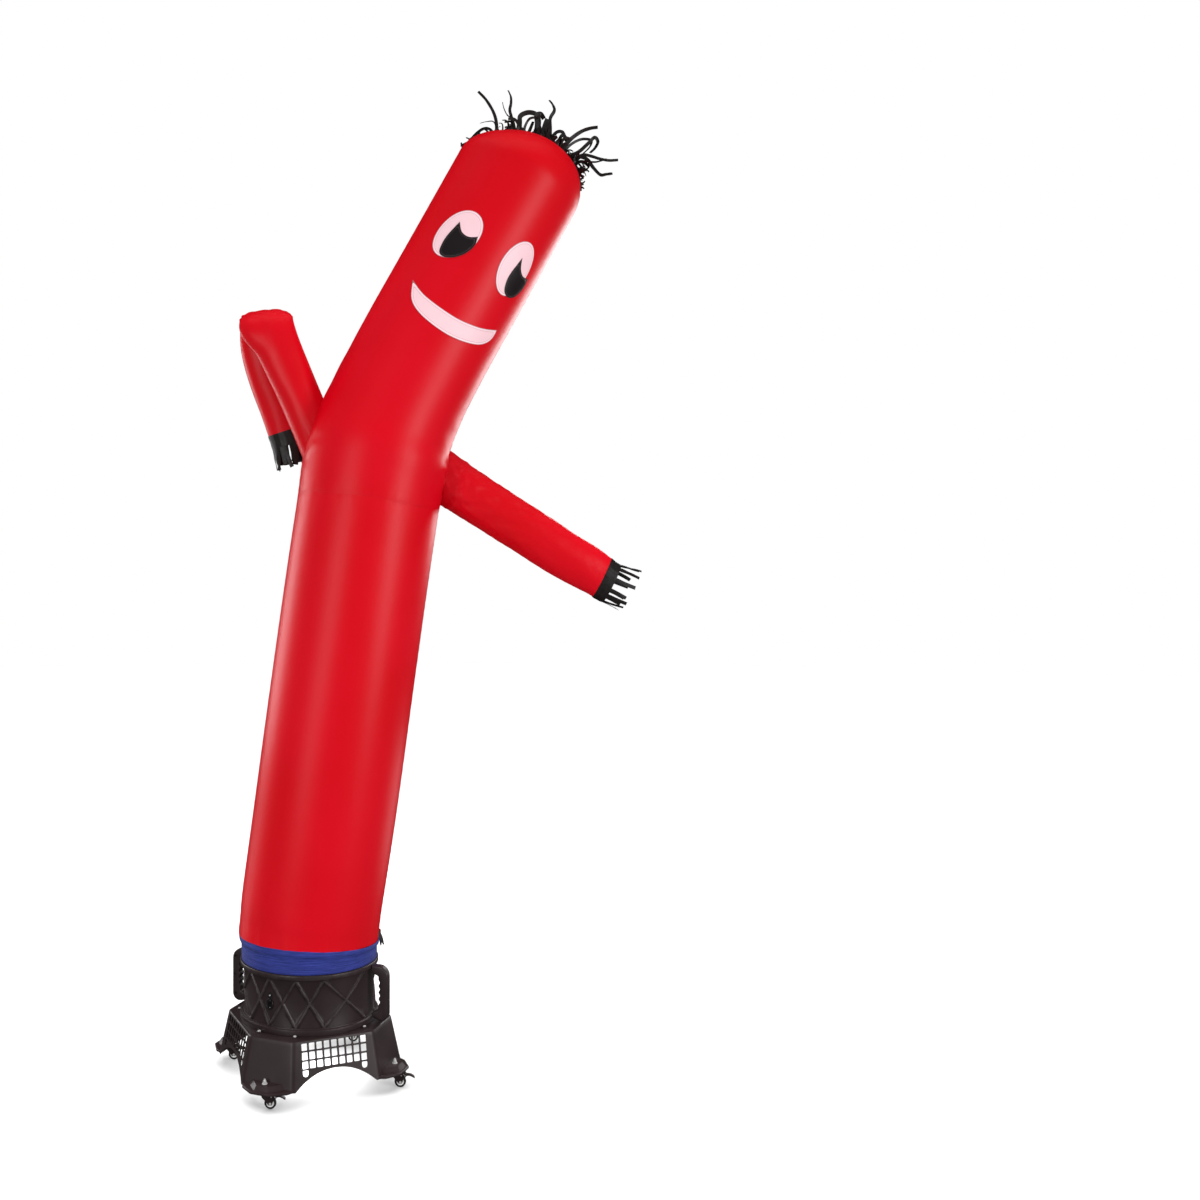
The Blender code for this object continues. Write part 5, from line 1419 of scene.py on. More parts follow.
def make_drum():
    """One moulding: lower ring, lattice barrel, mid ring, collar and rim round a plain duct."""
    low, high = LATTICE_LOW_Z, LATTICE_HIGH_Z
    below = [(DUCT_R, DRUM_LOW_Z), (RING_R - 0.0015, DRUM_LOW_Z), (RING_R - 0.0004, DRUM_LOW_Z + 0.0004),
             (RING_R, DRUM_LOW_Z + 0.0015), (RING_R, low - 0.0062), (RING_R - 0.0004, low - 0.0050),
             (RING_R - 0.0016, low - 0.0042), (RING_R - 0.0064, low - 0.0026),
             (RING_R - 0.0068, low - 0.0014), (RING_R - 0.0070, low - 0.0001)]
    above = [(RING_R - 0.0070, high + 0.0001), (RING_R - 0.0068, high + 0.0014),
             (RING_R - 0.0064, high + 0.0022), (RING_R - 0.0016, high + 0.0036),
             (RING_R - 0.0004, high + 0.0044), (RING_R, high + 0.0056),
             (RING_R, COLLAR_LOW_Z - 0.0030), (RING_R - 0.0005, COLLAR_LOW_Z - 0.0014),
             (RING_R - 0.0018, COLLAR_LOW_Z - 0.0004), (RING_R - 0.0034, COLLAR_LOW_Z),
             (COLLAR_R + 0.0010, COLLAR_LOW_Z), (COLLAR_R + 0.0002, COLLAR_LOW_Z + 0.0006),
             (COLLAR_R, COLLAR_LOW_Z + 0.0016), (COLLAR_R, COLLAR_HIGH_Z - 0.0010),
             (COLLAR_R + 0.0006, COLLAR_HIGH_Z), (RIM_R - 0.0012, COLLAR_HIGH_Z),
             (RIM_R - 0.0002, COLLAR_HIGH_Z + 0.0004), (RIM_R, COLLAR_HIGH_Z + 0.0014),
             (RIM_R, RIM_TOP_Z - 0.0030), (RIM_R - 0.0008, RIM_TOP_Z - 0.0012), (RIM_R - 0.0024, RIM_TOP_Z),
             (DUCT_R + 0.0050, RIM_TOP_Z), (DUCT_R + 0.0042, RIM_TOP_Z - 0.0012),
             (DUCT_R + 0.0008, RIM_TOP_Z - 0.0014), (DUCT_R, RIM_TOP_Z - 0.0026)]
    rows, painted_highlight = [], []
    middle, reach = 0.5 * (low + high), 0.5 * (high - low)
    for deg, marks in lattice_columns():
        # The third value is each point's share of the painted highlight: a little on the lower ring, full on
        # the rib tops, some on the outer faces of the mid ring and the rim.
        wall = [(r + (ring_seams(deg, z) if r > RING_R - 0.001 else 0.0), z, 0.10) for r, z in below]
        for v, rib in marks:
            wall.append((PANEL_R - WAIST * (1.0 - v * v) + RIB_PROUD * rib, middle + v * reach,
                         1.0 if 0.85 < rib <= 1.0 else 0.0))
        wall += [(r, z, 0.35 if r > RING_R - 0.002 else 0.0) for r, z in above]
        rows.append([polar(deg, r, z) for r, z, _ in wall])
        painted_highlight.append([w for _, _, w in wall])
    return lay_moulding("drum_moulding", rows, painted_highlight, 0.00012)


def lay_moulding(name, columns, painted_highlight, merge):
    """A closed body from upright columns of points that go all the way round, inside and outside."""
    tall = len(columns[0])
    points = [AXIS + p for column in columns for p in column]
    faces = []
    for c in range(len(columns)):
        d = (c + 1) % len(columns)
        for r in range(tall):
            s = (r + 1) % tall
            faces.append((c * tall + r, d * tall + r, d * tall + s, c * tall + s))
    mesh = bpy.data.meshes.new(name)
    mesh.from_pydata(points, [], faces)
    # Each point's share of the painted highlight, read by the housing's paint.
    mark = mesh.attributes.new("painted_highlight", "FLOAT", "POINT")
    mark.data.foreach_set("value", [w for column in painted_highlight for w in column])
    piece = bpy.data.objects.new(name, mesh)
    bpy.context.scene.collection.objects.link(piece)
    start_edit(piece)
    bpy.ops.mesh.select_all(action="SELECT")
    bpy.ops.mesh.remove_doubles(threshold=merge)
    bpy.ops.mesh.normals_make_consistent(inside=False)
    end_edit()
    return smooth(piece, 36.0)


# Skirt: flat sides and corner faces that flare towards the floor, with rounded edges between them.
SKIRT_TOP_Z = 0.2050
SKIRT_LOW_Z = 0.0550
SIDE_TOP = 0.246
CORNER_TOP = 0.270
FLARE = 0.031 / 0.150
EDGE_R = 0.026
WALL = 0.003
WINDOW_PITCH = 0.025
WINDOW_WIDE = 0.0192
WINDOW_ROWS = ((0.1965, 0.1750), (0.1700, 0.1475), (0.1425, 0.1210))
END_WINDOW = (0.1165, 0.0975)
ARCH_TOP_Z = 0.112
PAD_TOP_Z = 0.078
DRUM_HOLE_R = 0.2165


def plan_arc(z, inset):
    """The rounded edge between a side and a corner face: points (out from the side, along it)."""
    side = SIDE_TOP + FLARE * (SKIRT_TOP_Z - z) - inset
    corner = CORNER_TOP + FLARE * (SKIRT_TOP_Z - z) - inset
    r = EDGE_R - inset
    out = side - r
    along = (corner - r - out * math.cos(math.pi / 4)) / math.sin(math.pi / 4)
    steps = [math.radians(a) for a in spread(0.0, 45.0, 8)]
    return [(out + r * math.cos(a), along + r * math.sin(a)) for a in steps]


def side_x_half(z):
    return plan_arc(z, 0.0)[0][1]


def quadrant(k, z, inset):
    """Points round a quarter of the skirt's plan, from the middle of side k to the middle of side k + 1."""
    here = CORNER_DEG + 45.0 + 90.0 * k
    arc = plan_arc(z, inset)
    half = arc[0][1]
    out = arc[0][0]
    left = [polar(here, out, z, half * s) for s in spread(0.0, 1.0, 9)[:-1]]
    left += [polar(here, o, z, a) for o, a in arc]
    there = here + 90.0
    right = [polar(there, o, z, -a) for o, a in arc[::-1]]
    right += [polar(there, out, z, -half * s) for s in spread(0.0, 1.0, 9)[:-1][::-1]]
    flat = [left[-1].lerp(right[0], s) for s in spread(0.0, 1.0, 9)[1:-1]]
    return (left + flat + right)[:-1]


def window_loop(u, high, low, top_r, low_r):
    """A window's outline with rounded corners, (u, z)."""
    half = 0.5 * WINDOW_WIDE
    corners = ((half - top_r, high - top_r, top_r, 0.0), (-half + top_r, high - top_r, top_r, 90.0),
               (-half + low_r, low + low_r, low_r, 180.0), (half - low_r, low + low_r, low_r, 270.0))
    loop = []
    for cu, cz, r, first in corners:
        for a in spread(first, first + 90.0, 5):
            loop.append((u + cu + r * math.cos(math.radians(a)), cz + r * math.sin(math.radians(a))))
    return loop


def inside_loop(p, loop):
    hit = False
    for (x0, y0), (x1, y1) in zip(loop, loop[1:] + loop[:1]):
        if (y0 > p[1]) != (y1 > p[1]) and p[0] < (x1 - x0) * (p[1] - y0) / (y1 - y0) + x0:
            hit = not hit
    return hit


SKIRT_ROWS = (0.2010, 0.1900, 0.1750, 0.1600, 0.1450, 0.1300, 0.1150, 0.1000, 0.0850, 0.0700, 0.0550)


def side_panel():
    """One side's flat layout: points (u, z) and faces, with its windows and its arch left out."""
    windows = []
    for n in range(9):
        u = (n - 4) * WINDOW_PITCH
        for high, low in WINDOW_ROWS:
            windows.append(window_loop(u, high, low, 0.0026, 0.0026))
        if n in (0, 8):
            windows.append(window_loop(u, *END_WINDOW, 0.0026, 0.0088))
    top = [(-s * side_x_half(SKIRT_ROWS[0]), SKIRT_ROWS[0]) for s in spread(-1.0, 1.0, 17)]
    left = [(-side_x_half(z), z) for z in SKIRT_ROWS[1:]]
    foot = side_x_half(SKIRT_LOW_Z)
    arch = []
    for s in spread(-1.0, 1.0, 41)[1:-1]:
        arch.append((s * foot, ARCH_TOP_Z - (ARCH_TOP_Z - SKIRT_LOW_Z) * abs(s) ** 2.15))
    right = [(side_x_half(z), z) for z in SKIRT_ROWS[:0:-1]]
    outline = top + left + arch + right
    points = [Vector(p) for p in outline]
    edges = [(i, (i + 1) % len(outline)) for i in range(len(outline))]
    for loop in windows:
        start = len(points)
        points += [Vector(p) for p in loop]
        edges += [(start + i, start + (i + 1) % len(loop)) for i in range(len(loop))]
    flat, _, faces, *_ = delaunay_2d_cdt(points, edges, [list(range(len(outline)))], 1, 1e-7)
    kept = []
    for f in faces:
        middle = sum((flat[i] for i in f), Vector((0.0, 0.0))) / len(f)
        if not any(inside_loop(middle, loop) for loop in windows):
            kept.append(f)
    return [(p.x, p.y) for p in flat], kept


def make_skirt():
    """The flared base: deck, windowed sides and corners in one wall, then the feet."""
    points, faces = [], []

    def add(new_points, new_faces):
        start = len(points)
        points.extend(new_points)
        faces.extend([start + i for i in f] for f in new_faces)

    flat, triangles = side_panel()
    for k in range(4):
        deg = CORNER_DEG + 45.0 + 90.0 * k
        side = [polar(deg, SIDE_TOP + FLARE * (SKIRT_TOP_Z - z), z, u) for u, z in flat]
        add(side, triangles)
    rings = []
    for z, inset in ((SKIRT_TOP_Z, 0.0050), (SKIRT_TOP_Z - 0.0006, 0.0022), (SKIRT_TOP_Z - 0.0018, 0.0007),
                     (SKIRT_ROWS[0], 0.0)):
        rings.append([p for k in range(4) for p in quadrant(k, z, inset)])
    hole = [Vector((p.x, p.y, 0.0)).normalized() * DRUM_HOLE_R + Vector((0.0, 0.0, SKIRT_TOP_Z))
            for p in rings[0]]
    rings.insert(0, hole)
    whole = len(hole)
    for a, b in zip(rings, rings[1:]):
        add(a + b, [(i, (i + 1) % whole, whole + (i + 1) % whole, whole + i) for i in range(whole)])
    for k in range(4):
        bands = [quadrant(k, z, 0.0) for z in SKIRT_ROWS]
        first, last = 8, len(bands[0]) - 8
        wide = last - first + 1
        strip = [row[first:last + 1] for row in bands]
        add([p for row in strip for p in row],
            [(r * wide + i, r * wide + i + 1, (r + 1) * wide + i + 1, (r + 1) * wide + i)
             for r in range(len(strip) - 1) for i in range(wide - 1)])
    mesh = bpy.data.meshes.new("skirt_wall")
    mesh.from_pydata(points, [], faces)
    skirt = bpy.data.objects.new("skirt_wall", mesh)
    bpy.context.scene.collection.objects.link(skirt)
    start_edit(skirt)
    bpy.ops.mesh.select_all(action="SELECT")
    bpy.ops.mesh.remove_doubles(threshold=0.00004)
    bpy.ops.mesh.normals_make_consistent(inside=False)
    end_edit()
    top = min(skirt.data.polygons,
              key=lambda f: abs(f.center.z - SKIRT_TOP_Z) + abs(f.center.xy.length - 0.22))
    if top.normal.z < 0.0:
        skirt.data.flip_normals()
    shift(skirt, AXIS)
    modify(skirt, "SOLIDIFY", thickness=WALL, offset=-1.0, use_even_offset=True)
    feet = [make_foot(k) for k in range(4)]
    for foot in feet:
        shift(foot, AXIS)
    whole_skirt = join("skirt_moulding", [skirt, *feet])
    return smooth(whole_skirt, 28.0)


# A foot's layers, as half outlines (reach, half width), from the rim under the skirt to the raised pad.
FOOT_RIM = ((0.2920, 0.0930), (0.3180, 0.0800), (0.3520, 0.0330))
FOOT_LEDGE = ((0.2920, 0.0900), (0.3165, 0.0775), (0.3490, 0.0318))
FOOT_PAD_LOW = ((0.2920, 0.0700), (0.3130, 0.0532), (0.3420, 0.0255))
FOOT_PAD_HIGH = ((0.2860, 0.0600), (0.3080, 0.0426), (0.3345, 0.0190))


def make_foot(k):
    """A stepped foot: a flanged rim, a ledge and a raised three-sided pad, in layers."""
    layers = ((FOOT_RIM, SKIRT_LOW_Z), (FOOT_RIM, SKIRT_LOW_Z + 0.0062), (FOOT_LEDGE, SKIRT_LOW_Z + 0.0078),
              (FOOT_PAD_LOW, SKIRT_LOW_Z + 0.0084), (FOOT_PAD_HIGH, PAD_TOP_Z))
    outlines = []
    for half, z in layers:
        full = [(r, -w) for r, w in half] + [(r, w) for r, w in half[::-1]]
        outlines.append([polar(CORNER_DEG + 90.0 * k, r, z, w) for r, w in full])
    foot = outline_face(f"foot_{k + 1}", outlines[0])
    bottom = [v.index for v in foot.data.vertices]
    for outline in outlines[1:]:
        start_edit(foot, "FACE", lambda f: all(v.index in bottom for v in f.verts))
        bpy.ops.mesh.extrude_region_move(TRANSFORM_OT_translate={"value": (0.0, 0.0, 0.001)})
        bpy.ops.object.mode_set(mode="OBJECT")
        bottom = [v.index for v in foot.data.vertices if v.select]
        low = [foot.data.vertices[i] for i in bottom]
        for vert in low:
            order = min(range(6), key=lambda i: (Vector(previous_of(outlines, outline)[i]) - vert.co).length)
            vert.co = outline[order]
    start_edit(foot)
    end_edit(fix_normals=True)
    return bevel(foot, 0.0011, 2, 20.0)


def previous_of(outlines, outline):
    """The layer below a layer, lifted as the extrusion left it."""
    n = outlines.index(outline)
    return [p + Vector((0.0, 0.0, 0.001)) for p in outlines[n - 1]]


# Handles: a C-shaped grip with finger scallops, (radius, z).
HANDLE_HALF = 0.0140
HANDLE_OUT = 0.2930
GRIP_IN = 0.2602
GRIP_LOW_Z = 0.2480
GRIP_HIGH_Z = 0.3640
HANDLE_LOW_Z = 0.2150
HANDLE_HIGH_Z = 0.3960


def bend_points(centre_r, centre_z, r, first, last, count):
    return [(centre_r + r * math.cos(math.radians(a)), centre_z + r * math.sin(math.radians(a)))
            for a in spread(first, last, count)]


def handle_outline():
    seat = RING_R + 0.0004
    line = [(seat, HANDLE_LOW_Z + 0.0120), (seat + 0.012, HANDLE_LOW_Z + 0.0040)]
    line += bend_points(HANDLE_OUT - 0.026, HANDLE_LOW_Z + 0.026, 0.026, -96.0, 0.0, 10)
    line += bend_points(HANDLE_OUT - 0.033, HANDLE_HIGH_Z - 0.033, 0.033, 0.0, 90.0, 11)
    line += [(seat, HANDLE_HIGH_Z), (seat, 0.3850)]
    line += [(seat + 0.0040, GRIP_HIGH_Z + 0.0080), (seat + 0.0110, GRIP_HIGH_Z + 0.0030),
             (seat + 0.0165, GRIP_HIGH_Z + 0.0005)]
    line += bend_points(GRIP_IN - 0.0060, GRIP_HIGH_Z - 0.0070, 0.0065, 80.0, 20.0, 4)
    pitch = (GRIP_HIGH_Z - GRIP_LOW_Z - 0.030) / 4
    for n in range(25):
        share = n / 24.0
        z = GRIP_HIGH_Z - 0.0130 - share * 4.0 * pitch
        line.append((GRIP_IN + 0.0052 * math.sin(math.pi * 4.0 * share) ** 2, z))
    line += bend_points(GRIP_IN - 0.0060, GRIP_LOW_Z + 0.0070, 0.0065, -20.0, -80.0, 4)
    line += [(seat + 0.0155, GRIP_LOW_Z - 0.0010), (seat + 0.0080, GRIP_LOW_Z - 0.0050),
             (seat, GRIP_LOW_Z - 0.0120)]
    return line


def make_handle(name, deg):
    """A thick grip with rounded edges, three screw recesses in one side and a screw in each."""
    outline = [polar(deg, r, z, -HANDLE_HALF) for r, z in handle_outline()]
    grip = prism(name, outline, polar(deg, 0.0, 0.0, 2.0 * HANDLE_HALF))
    bevel(grip, 0.0056, 4, 50.0)
    inward = polar(deg, 0.0, 0.0, -1.0)
    screws = []
    for r, z in ((0.2790, 0.3700), (0.2830, 0.3055), (0.2790, 0.2410)):
        centre = polar(deg, r, z, HANDLE_HALF)
        recess = tapped_cylinder("recess", 0.0042, 0.012, centre, inward)
        subtract(grip, recess)
        screws.append(tapped_cylinder("handle_screw", 0.0034, 0.004, centre + inward * 0.0070, inward))
    shift(grip, AXIS)
    smooth(grip, 40.0)
    heads = join(name + "_screws", screws)
    bevel(heads, 0.0006, 2, 30.0)
    shift(heads, AXIS)
    return grip, smooth(heads)


def tapped_cylinder(name, radius, length, centre, direction, sides=24):
    """A cylinder whose middle is at a point and whose axis runs along a direction."""
    clear_selection()
    turn = Vector(direction).to_track_quat("Z", "Y").to_euler()
    bpy.ops.mesh.primitive_cylinder_add(vertices=sides, radius=radius, depth=length, location=centre,
                                        rotation=turn)
    piece = settle(bpy.context.active_object)
    piece.name = name
    return piece


# ---- the blower's fittings ----
DECK_SCREW_R = 0.2425
DECK_SCREW_DEG = 15.5        # each side of a corner


def make_deck_screws():
    """Eight screws with black bosses in the deck, a pair each side of every corner."""
    boss = spun("deck_bosses", [(0.0, 0.2052), (0.0088, 0.2052), (0.0088, 0.2082), (0.0080, 0.2093),
                                (0.0, 0.2093)], 28)
    head = spun("deck_screws", [(0.0, 0.2093), (0.0052, 0.2093), (0.0054, 0.2103), (0.0050, 0.2114),
                                (0.0036, 0.2124), (0.0018, 0.2129), (0.0, 0.2130)], 24)
    slot_bar = prism("cross_bar", [(-0.0030, -0.0006, 0.2118), (0.0030, -0.0006, 0.2118),
                                   (0.0030, 0.0006, 0.2118), (-0.0030, 0.0006, 0.2118)], (0.0, 0.0, 0.003))
    across = twin(slot_bar, "cross_bar_2", Matrix.Rotation(0.5 * math.pi, 4, "Z"))
    subtract(head, slot_bar)
    subtract(head, across)
    bosses, heads = [], []
    for k in range(4):
        for side in (-DECK_SCREW_DEG, DECK_SCREW_DEG):
            deg = CORNER_DEG + 90.0 * k + side
            turn = Matrix.Rotation(0.7 * k + side, 4, "Z")
            at = Matrix.Translation(AXIS + polar(deg, DECK_SCREW_R, 0.0)) @ turn
            bosses.append(twin(boss, "boss", at))
            heads.append(twin(head, "screw", at))
    bpy.data.objects.remove(boss, do_unlink=True)
    bpy.data.objects.remove(head, do_unlink=True)
    return smooth(join("deck_bosses", bosses)), smooth(join("deck_screws", heads), 38.0)


TETHER_DEG = CORNER_DEG - 8.9
TETHER_R = 0.2197
RING_WIRE_R = 0.0015
RING_SIDES = 14


def make_tether():
    """An anchor plate pressed out into a bridge, two rivets, and a D-ring in the bridge."""
    half, plate = 0.0068, 0.0014
    line = [(0.0, 0.3320, 0.0), (0.0, 0.3140, 0.0006), (0.0020, 0.3122, 0.0008), (0.0052, 0.3108, 0.0008),
            (0.0058, 0.3070, 0.0), (0.0052, 0.3032, -0.0008), (0.0020, 0.3018, -0.0008),
            (0.0, 0.3000, -0.0006), (0.0, 0.2780, 0.0)]
    outline = [(TETHER_R + out + plate, z + lead) for out, z, lead in line]
    outline += [(TETHER_R + out, z) for out, z, _ in line[::-1]]
    body = prism("tether_anchor", [polar(TETHER_DEG, r, z, -half) for r, z in outline],
                 polar(TETHER_DEG, 0.0, 0.0, 2.0 * half))
    start_edit(body, "EDGE", lambda e: abs((e.verts[0].co - e.verts[1].co).length - plate) < 0.0002
               and min(abs(e.verts[0].co.z - 0.3320), abs(e.verts[0].co.z - 0.2780)) < 0.0001)
    bpy.ops.mesh.bevel(offset=0.0046, segments=6, affect="EDGES")
    end_edit()
    bevel(body, 0.0003, 2, 40.0)
    rivets = []
    for z in (0.3245, 0.2838):
        outward = polar(TETHER_DEG, 1.0, 0.0)
        at = polar(TETHER_DEG, TETHER_R + plate + 0.0006, z)
        rivets.append(bevel(tapped_cylinder("rivet", 0.0024, 0.0018, at, outward, 20), 0.0005, 2))
    path = [(-0.0088, 0.3068), (0.0088, 0.3068), (0.0118, 0.3040), (0.0125, 0.2970), (0.0112, 0.2905),
            (0.0070, 0.2855), (0.0, 0.2836), (-0.0070, 0.2855), (-0.0112, 0.2905), (-0.0125, 0.2970),
            (-0.0118, 0.3040)]
    path = catmull(path + path[:1], 67)[:-1]
    rows = []
    for i, (u, z) in enumerate(path):
        before, after = path[i - 1], path[(i + 1) % len(path)]
        run = Vector((after[0] - before[0], after[1] - before[1])).normalized()
        out = 0.0030 + 0.0014 * (1.0 - ease(z, 0.2960, 0.3040))
        section = []
        for k in range(RING_SIDES):
            a = math.tau * k / RING_SIDES
            aside = RING_WIRE_R * math.cos(a)
            section.append(polar(TETHER_DEG, TETHER_R + out + RING_WIRE_R * math.sin(a), z + run.x * aside,
                                 u - run.y * aside))
        rows.append(section)
    ring = lay_moulding("tether_d_ring", rows, [[0.0] * RING_SIDES for _ in rows], 0.00001)
    return smooth(shift(body, AXIS), 40.0), smooth(shift(join("tether_rivets", rivets), AXIS)), ring


TRAIL = 0.018
AXLE_Z = 0.019
CASTER_R = 0.315
FORK_TOP_Z = 0.0497
FORK_PLATE_Z = 0.0445
CHEEK_IN = 0.0080
CHEEK_OUT = 0.0105
PEDAL_PIVOT = (0.0330, 0.0400)
# Side outlines from the swivel's axis: x behind it, and z.
CHEEK = [
    (-0.0100, FORK_TOP_Z), (0.0260, FORK_TOP_Z), (0.0350, 0.0480), (0.0385, 0.0440), (0.0385, 0.0375),
    (0.0360, 0.0345), (0.0300, 0.0315), (0.0262, 0.0230), (0.0240, 0.0160), (0.0215, 0.0132),
    (0.0145, 0.0132), (0.0115, 0.0150), (0.0040, 0.0250), (-0.0040, 0.0335), (-0.0085, 0.0380),
    (-0.0100, 0.0430),
]
PEDAL = [
    (0.0270, 0.0422), (0.0310, 0.0432), (0.0360, 0.0434), (0.0430, 0.0434), (0.0480, 0.0430),
    (0.0560, 0.0402), (0.0620, 0.0368), (0.0655, 0.0330), (0.0665, 0.0308), (0.0650, 0.0300),
    (0.0618, 0.0318), (0.0580, 0.0342), (0.0520, 0.0370), (0.0460, 0.0386), (0.0400, 0.0378),
    (0.0350, 0.0370), (0.0300, 0.0380),
]


def hexagon(radius, turn=0.0):
    return [(radius * math.cos(turn + math.tau * i / 6), radius * math.sin(turn + math.tau * i / 6))
            for i in range(6)]


def make_caster_pieces():
    """One caster about its swivel axis: its pieces by name, each to be copied to the four feet."""
    pad_low = PAD_TOP_Z - 0.0033
    bearing = spun("bearing", [(0.0, 0.0418), (0.0068, 0.0418), (0.0068, 0.0441), (0.0046, 0.0443),
                               (0.0046, 0.0502), (0.0118, 0.0503), (0.0124, 0.0512),
                               (0.0124, pad_low - 0.001), (0.0118, pad_low), (0.0, pad_low)], 36)
    top = PAD_TOP_Z + 0.0003
    bolt = spun("bolt", [(0.0, top), (0.0090, top), (0.0092, top + 0.0006), (0.0090, top + 0.0013),
                         (0.0048, top + 0.0013), (0.0048, top + 0.0112), (0.0033, top + 0.0114),
                         (0.0033, top + 0.0150), (0.0027, top + 0.0157), (0.0, top + 0.0157)], 32)
    nut = prism("nut", [(x, y, top + 0.0013) for x, y in hexagon(0.0066)], (0.0, 0.0, 0.0054))
    bevel(nut, 0.0005, 2, 25.0)
    spring = prism("spring_nut", [(x, y, top + 0.0070) for x, y in hexagon(0.0058, 0.4)], (0.0, 0.0, 0.0030))
    bevel(spring, 0.0004, 2, 25.0)
    bolts = smooth(join("caster_bolt", [bearing, bolt, nut, spring]), 34.0)

    fork = prism("caster_fork", [(x, -CHEEK_OUT, z) for x, z in CHEEK], (0.0, 2.0 * CHEEK_OUT, 0.0))
    bevel(fork, 0.0012, 3, 60.0)
    slot = prism("slot", [(x, -CHEEK_IN, z) for x, z in ((-0.030, -0.010), (0.060, -0.010),
                                                         (0.060, FORK_PLATE_Z), (-0.030, FORK_PLATE_Z))],
                 (0.0, 2.0 * CHEEK_IN, 0.0))
    subtract(fork, slot)
    hole = tapped_cylinder("swivel_hole", 0.0052, 0.030, (0.0, 0.0, FORK_PLATE_Z), (0.0, 0.0, 1.0), 28)
    subtract(fork, hole)
    pivot_hole = tapped_cylinder("pivot_hole", 0.0024, 0.040, (PEDAL_PIVOT[0], 0.0, PEDAL_PIVOT[1]),
                                 (0.0, 1.0, 0.0), 20)
    subtract(fork, pivot_hole)
    axle_hole = tapped_cylinder("axle_hole", 0.0034, 0.040, (TRAIL, 0.0, AXLE_Z), (0.0, 1.0, 0.0), 20)
    subtract(fork, axle_hole)
    smooth(fork, 34.0)
    rivets = []
    for x, z, r in ((0.0215, 0.0408, 0.0021), (0.0290, 0.0448, 0.0017)):
        for side in (-1.0, 1.0):
            at = (x, side * (CHEEK_OUT + 0.0004), z)
            rivets.append(bevel(tapped_cylinder("rivet", r, 0.0012, at, (0.0, side, 0.0), 20), 0.0004, 2))
    rivets = smooth(join("fork_rivets", rivets))

    tyre = spun("caster_tyre", [(0.0124, 0.0068), (0.0150, 0.0070), (0.0168, 0.0067), (0.0181, 0.0057),
                                (0.0188, 0.0038), (0.0190, 0.0015), (0.0190, -0.0015), (0.0188, -0.0038),
                                (0.0181, -0.0057), (0.0168, -0.0067), (0.0150, -0.0070), (0.0124, -0.0068),
                                (0.0120, -0.0060), (0.0120, 0.0060)], 56, "Y")
    shift(smooth(tyre, 40.0), (TRAIL, 0.0, AXLE_Z))
    hub = spun("caster_hub", [(0.0035, 0.0066), (0.0062, 0.0068), (0.0066, 0.0058), (0.0074, 0.0048),
                              (0.0094, 0.0048), (0.0100, 0.0060), (0.0104, 0.0069), (0.0116, 0.0069),
                              (0.0119, 0.0062), (0.0119, -0.0062), (0.0116, -0.0069), (0.0104, -0.0069),
                              (0.0100, -0.0060), (0.0094, -0.0048), (0.0074, -0.0048), (0.0066, -0.0058),
                              (0.0062, -0.0068), (0.0035, -0.0066)], 48, "Y")
    shift(smooth(hub, 34.0), (TRAIL, 0.0, AXLE_Z))

    axle_at = Vector((TRAIL, 0.0, AXLE_Z))
    rod = tapped_cylinder("axle", 0.0028, 2.0 * CHEEK_OUT + 0.004, axle_at, (0.0, 1.0, 0.0), 24)
    bevel(rod, 0.0005, 2)
    heads = []
    for side in (-1.0, 1.0):
        nut_points = [(TRAIL + x, side * (CHEEK_OUT + 0.0001), AXLE_Z + z) for x, z in hexagon(0.0045, 0.3)]
        heads.append(bevel(prism("axle_nut", nut_points, (0.0, side * 0.0022, 0.0)), 0.0004, 2, 25.0))
    axle = smooth(join("caster_axle", [rod, *heads]), 34.0)

    half = CHEEK_IN - 0.0005
    pedal = prism("caster_pedal", [(x, -half, z) for x, z in PEDAL], (0.0, 2.0 * half, 0.0))
    bevel(pedal, 0.0009, 3, 60.0)
    pin = tapped_cylinder("pin", 0.0019, 2.0 * CHEEK_OUT + 0.0012,
                          (PEDAL_PIVOT[0], 0.0, PEDAL_PIVOT[1]), (0.0, 1.0, 0.0), 20)
    bevel(pin, 0.0004, 2)
    ribs = []
    for x, z in ((0.0525, 0.0421), (0.0556, 0.0407), (0.0587, 0.0390), (0.0616, 0.0372)):
        ribs.append(tapped_cylinder("rib", 0.0007, 2.0 * half - 0.003, (x, 0.0, z), (0.0, 1.0, 0.0), 10))
    pedal = smooth(join("caster_pedal", [pedal, *ribs]), 34.0)
    return {"bolt": bolts, "fork": fork, "rivets": rivets, "tyre": tyre, "hub": hub, "axle": axle,
            "pedal": pedal, "pin": smooth(pin)}


CASTER_PIECES = {
    # piece:   paint,          slot,           body,    stands for
    "bolt": ("plated_steel", "plated_steel", "root", "caster_bolt"),
    "fork": ("fork", "fork", "fork", "caster_fork"),
    "rivets": ("plated_steel", "plated_steel", "fork", None),
    "tyre": ("tyre", "tyre", "wheel", "caster_tyre"),
    "hub": ("hub", "hub", "wheel", "caster_hub"),
    "axle": ("plated_steel", "plated_steel", "wheel", "caster_axle"),
    "pedal": ("fork", "fork", "pedal", "caster_pedal"),
    "pin": ("plated_steel", "plated_steel", "pedal", None),
}


def make_casters():
    pieces = make_caster_pieces()
    for k in range(4):
        centre = AXIS + polar(CORNER_DEG + 90.0 * k, CASTER_R, 0.0)
        for key, (paint, slot, body, node) in CASTER_PIECES.items():
            copy = twin(pieces[key], f"{pieces[key].name}_visual_{k + 1}", Matrix.Translation(centre))
            rides = body if body == "root" else f"{body}_{k + 1}"
            finish(copy, paint, rides, (f"{node}_{k + 1}",) if node else ())
    for piece in pieces.values():
        bpy.data.objects.remove(piece, do_unlink=True)


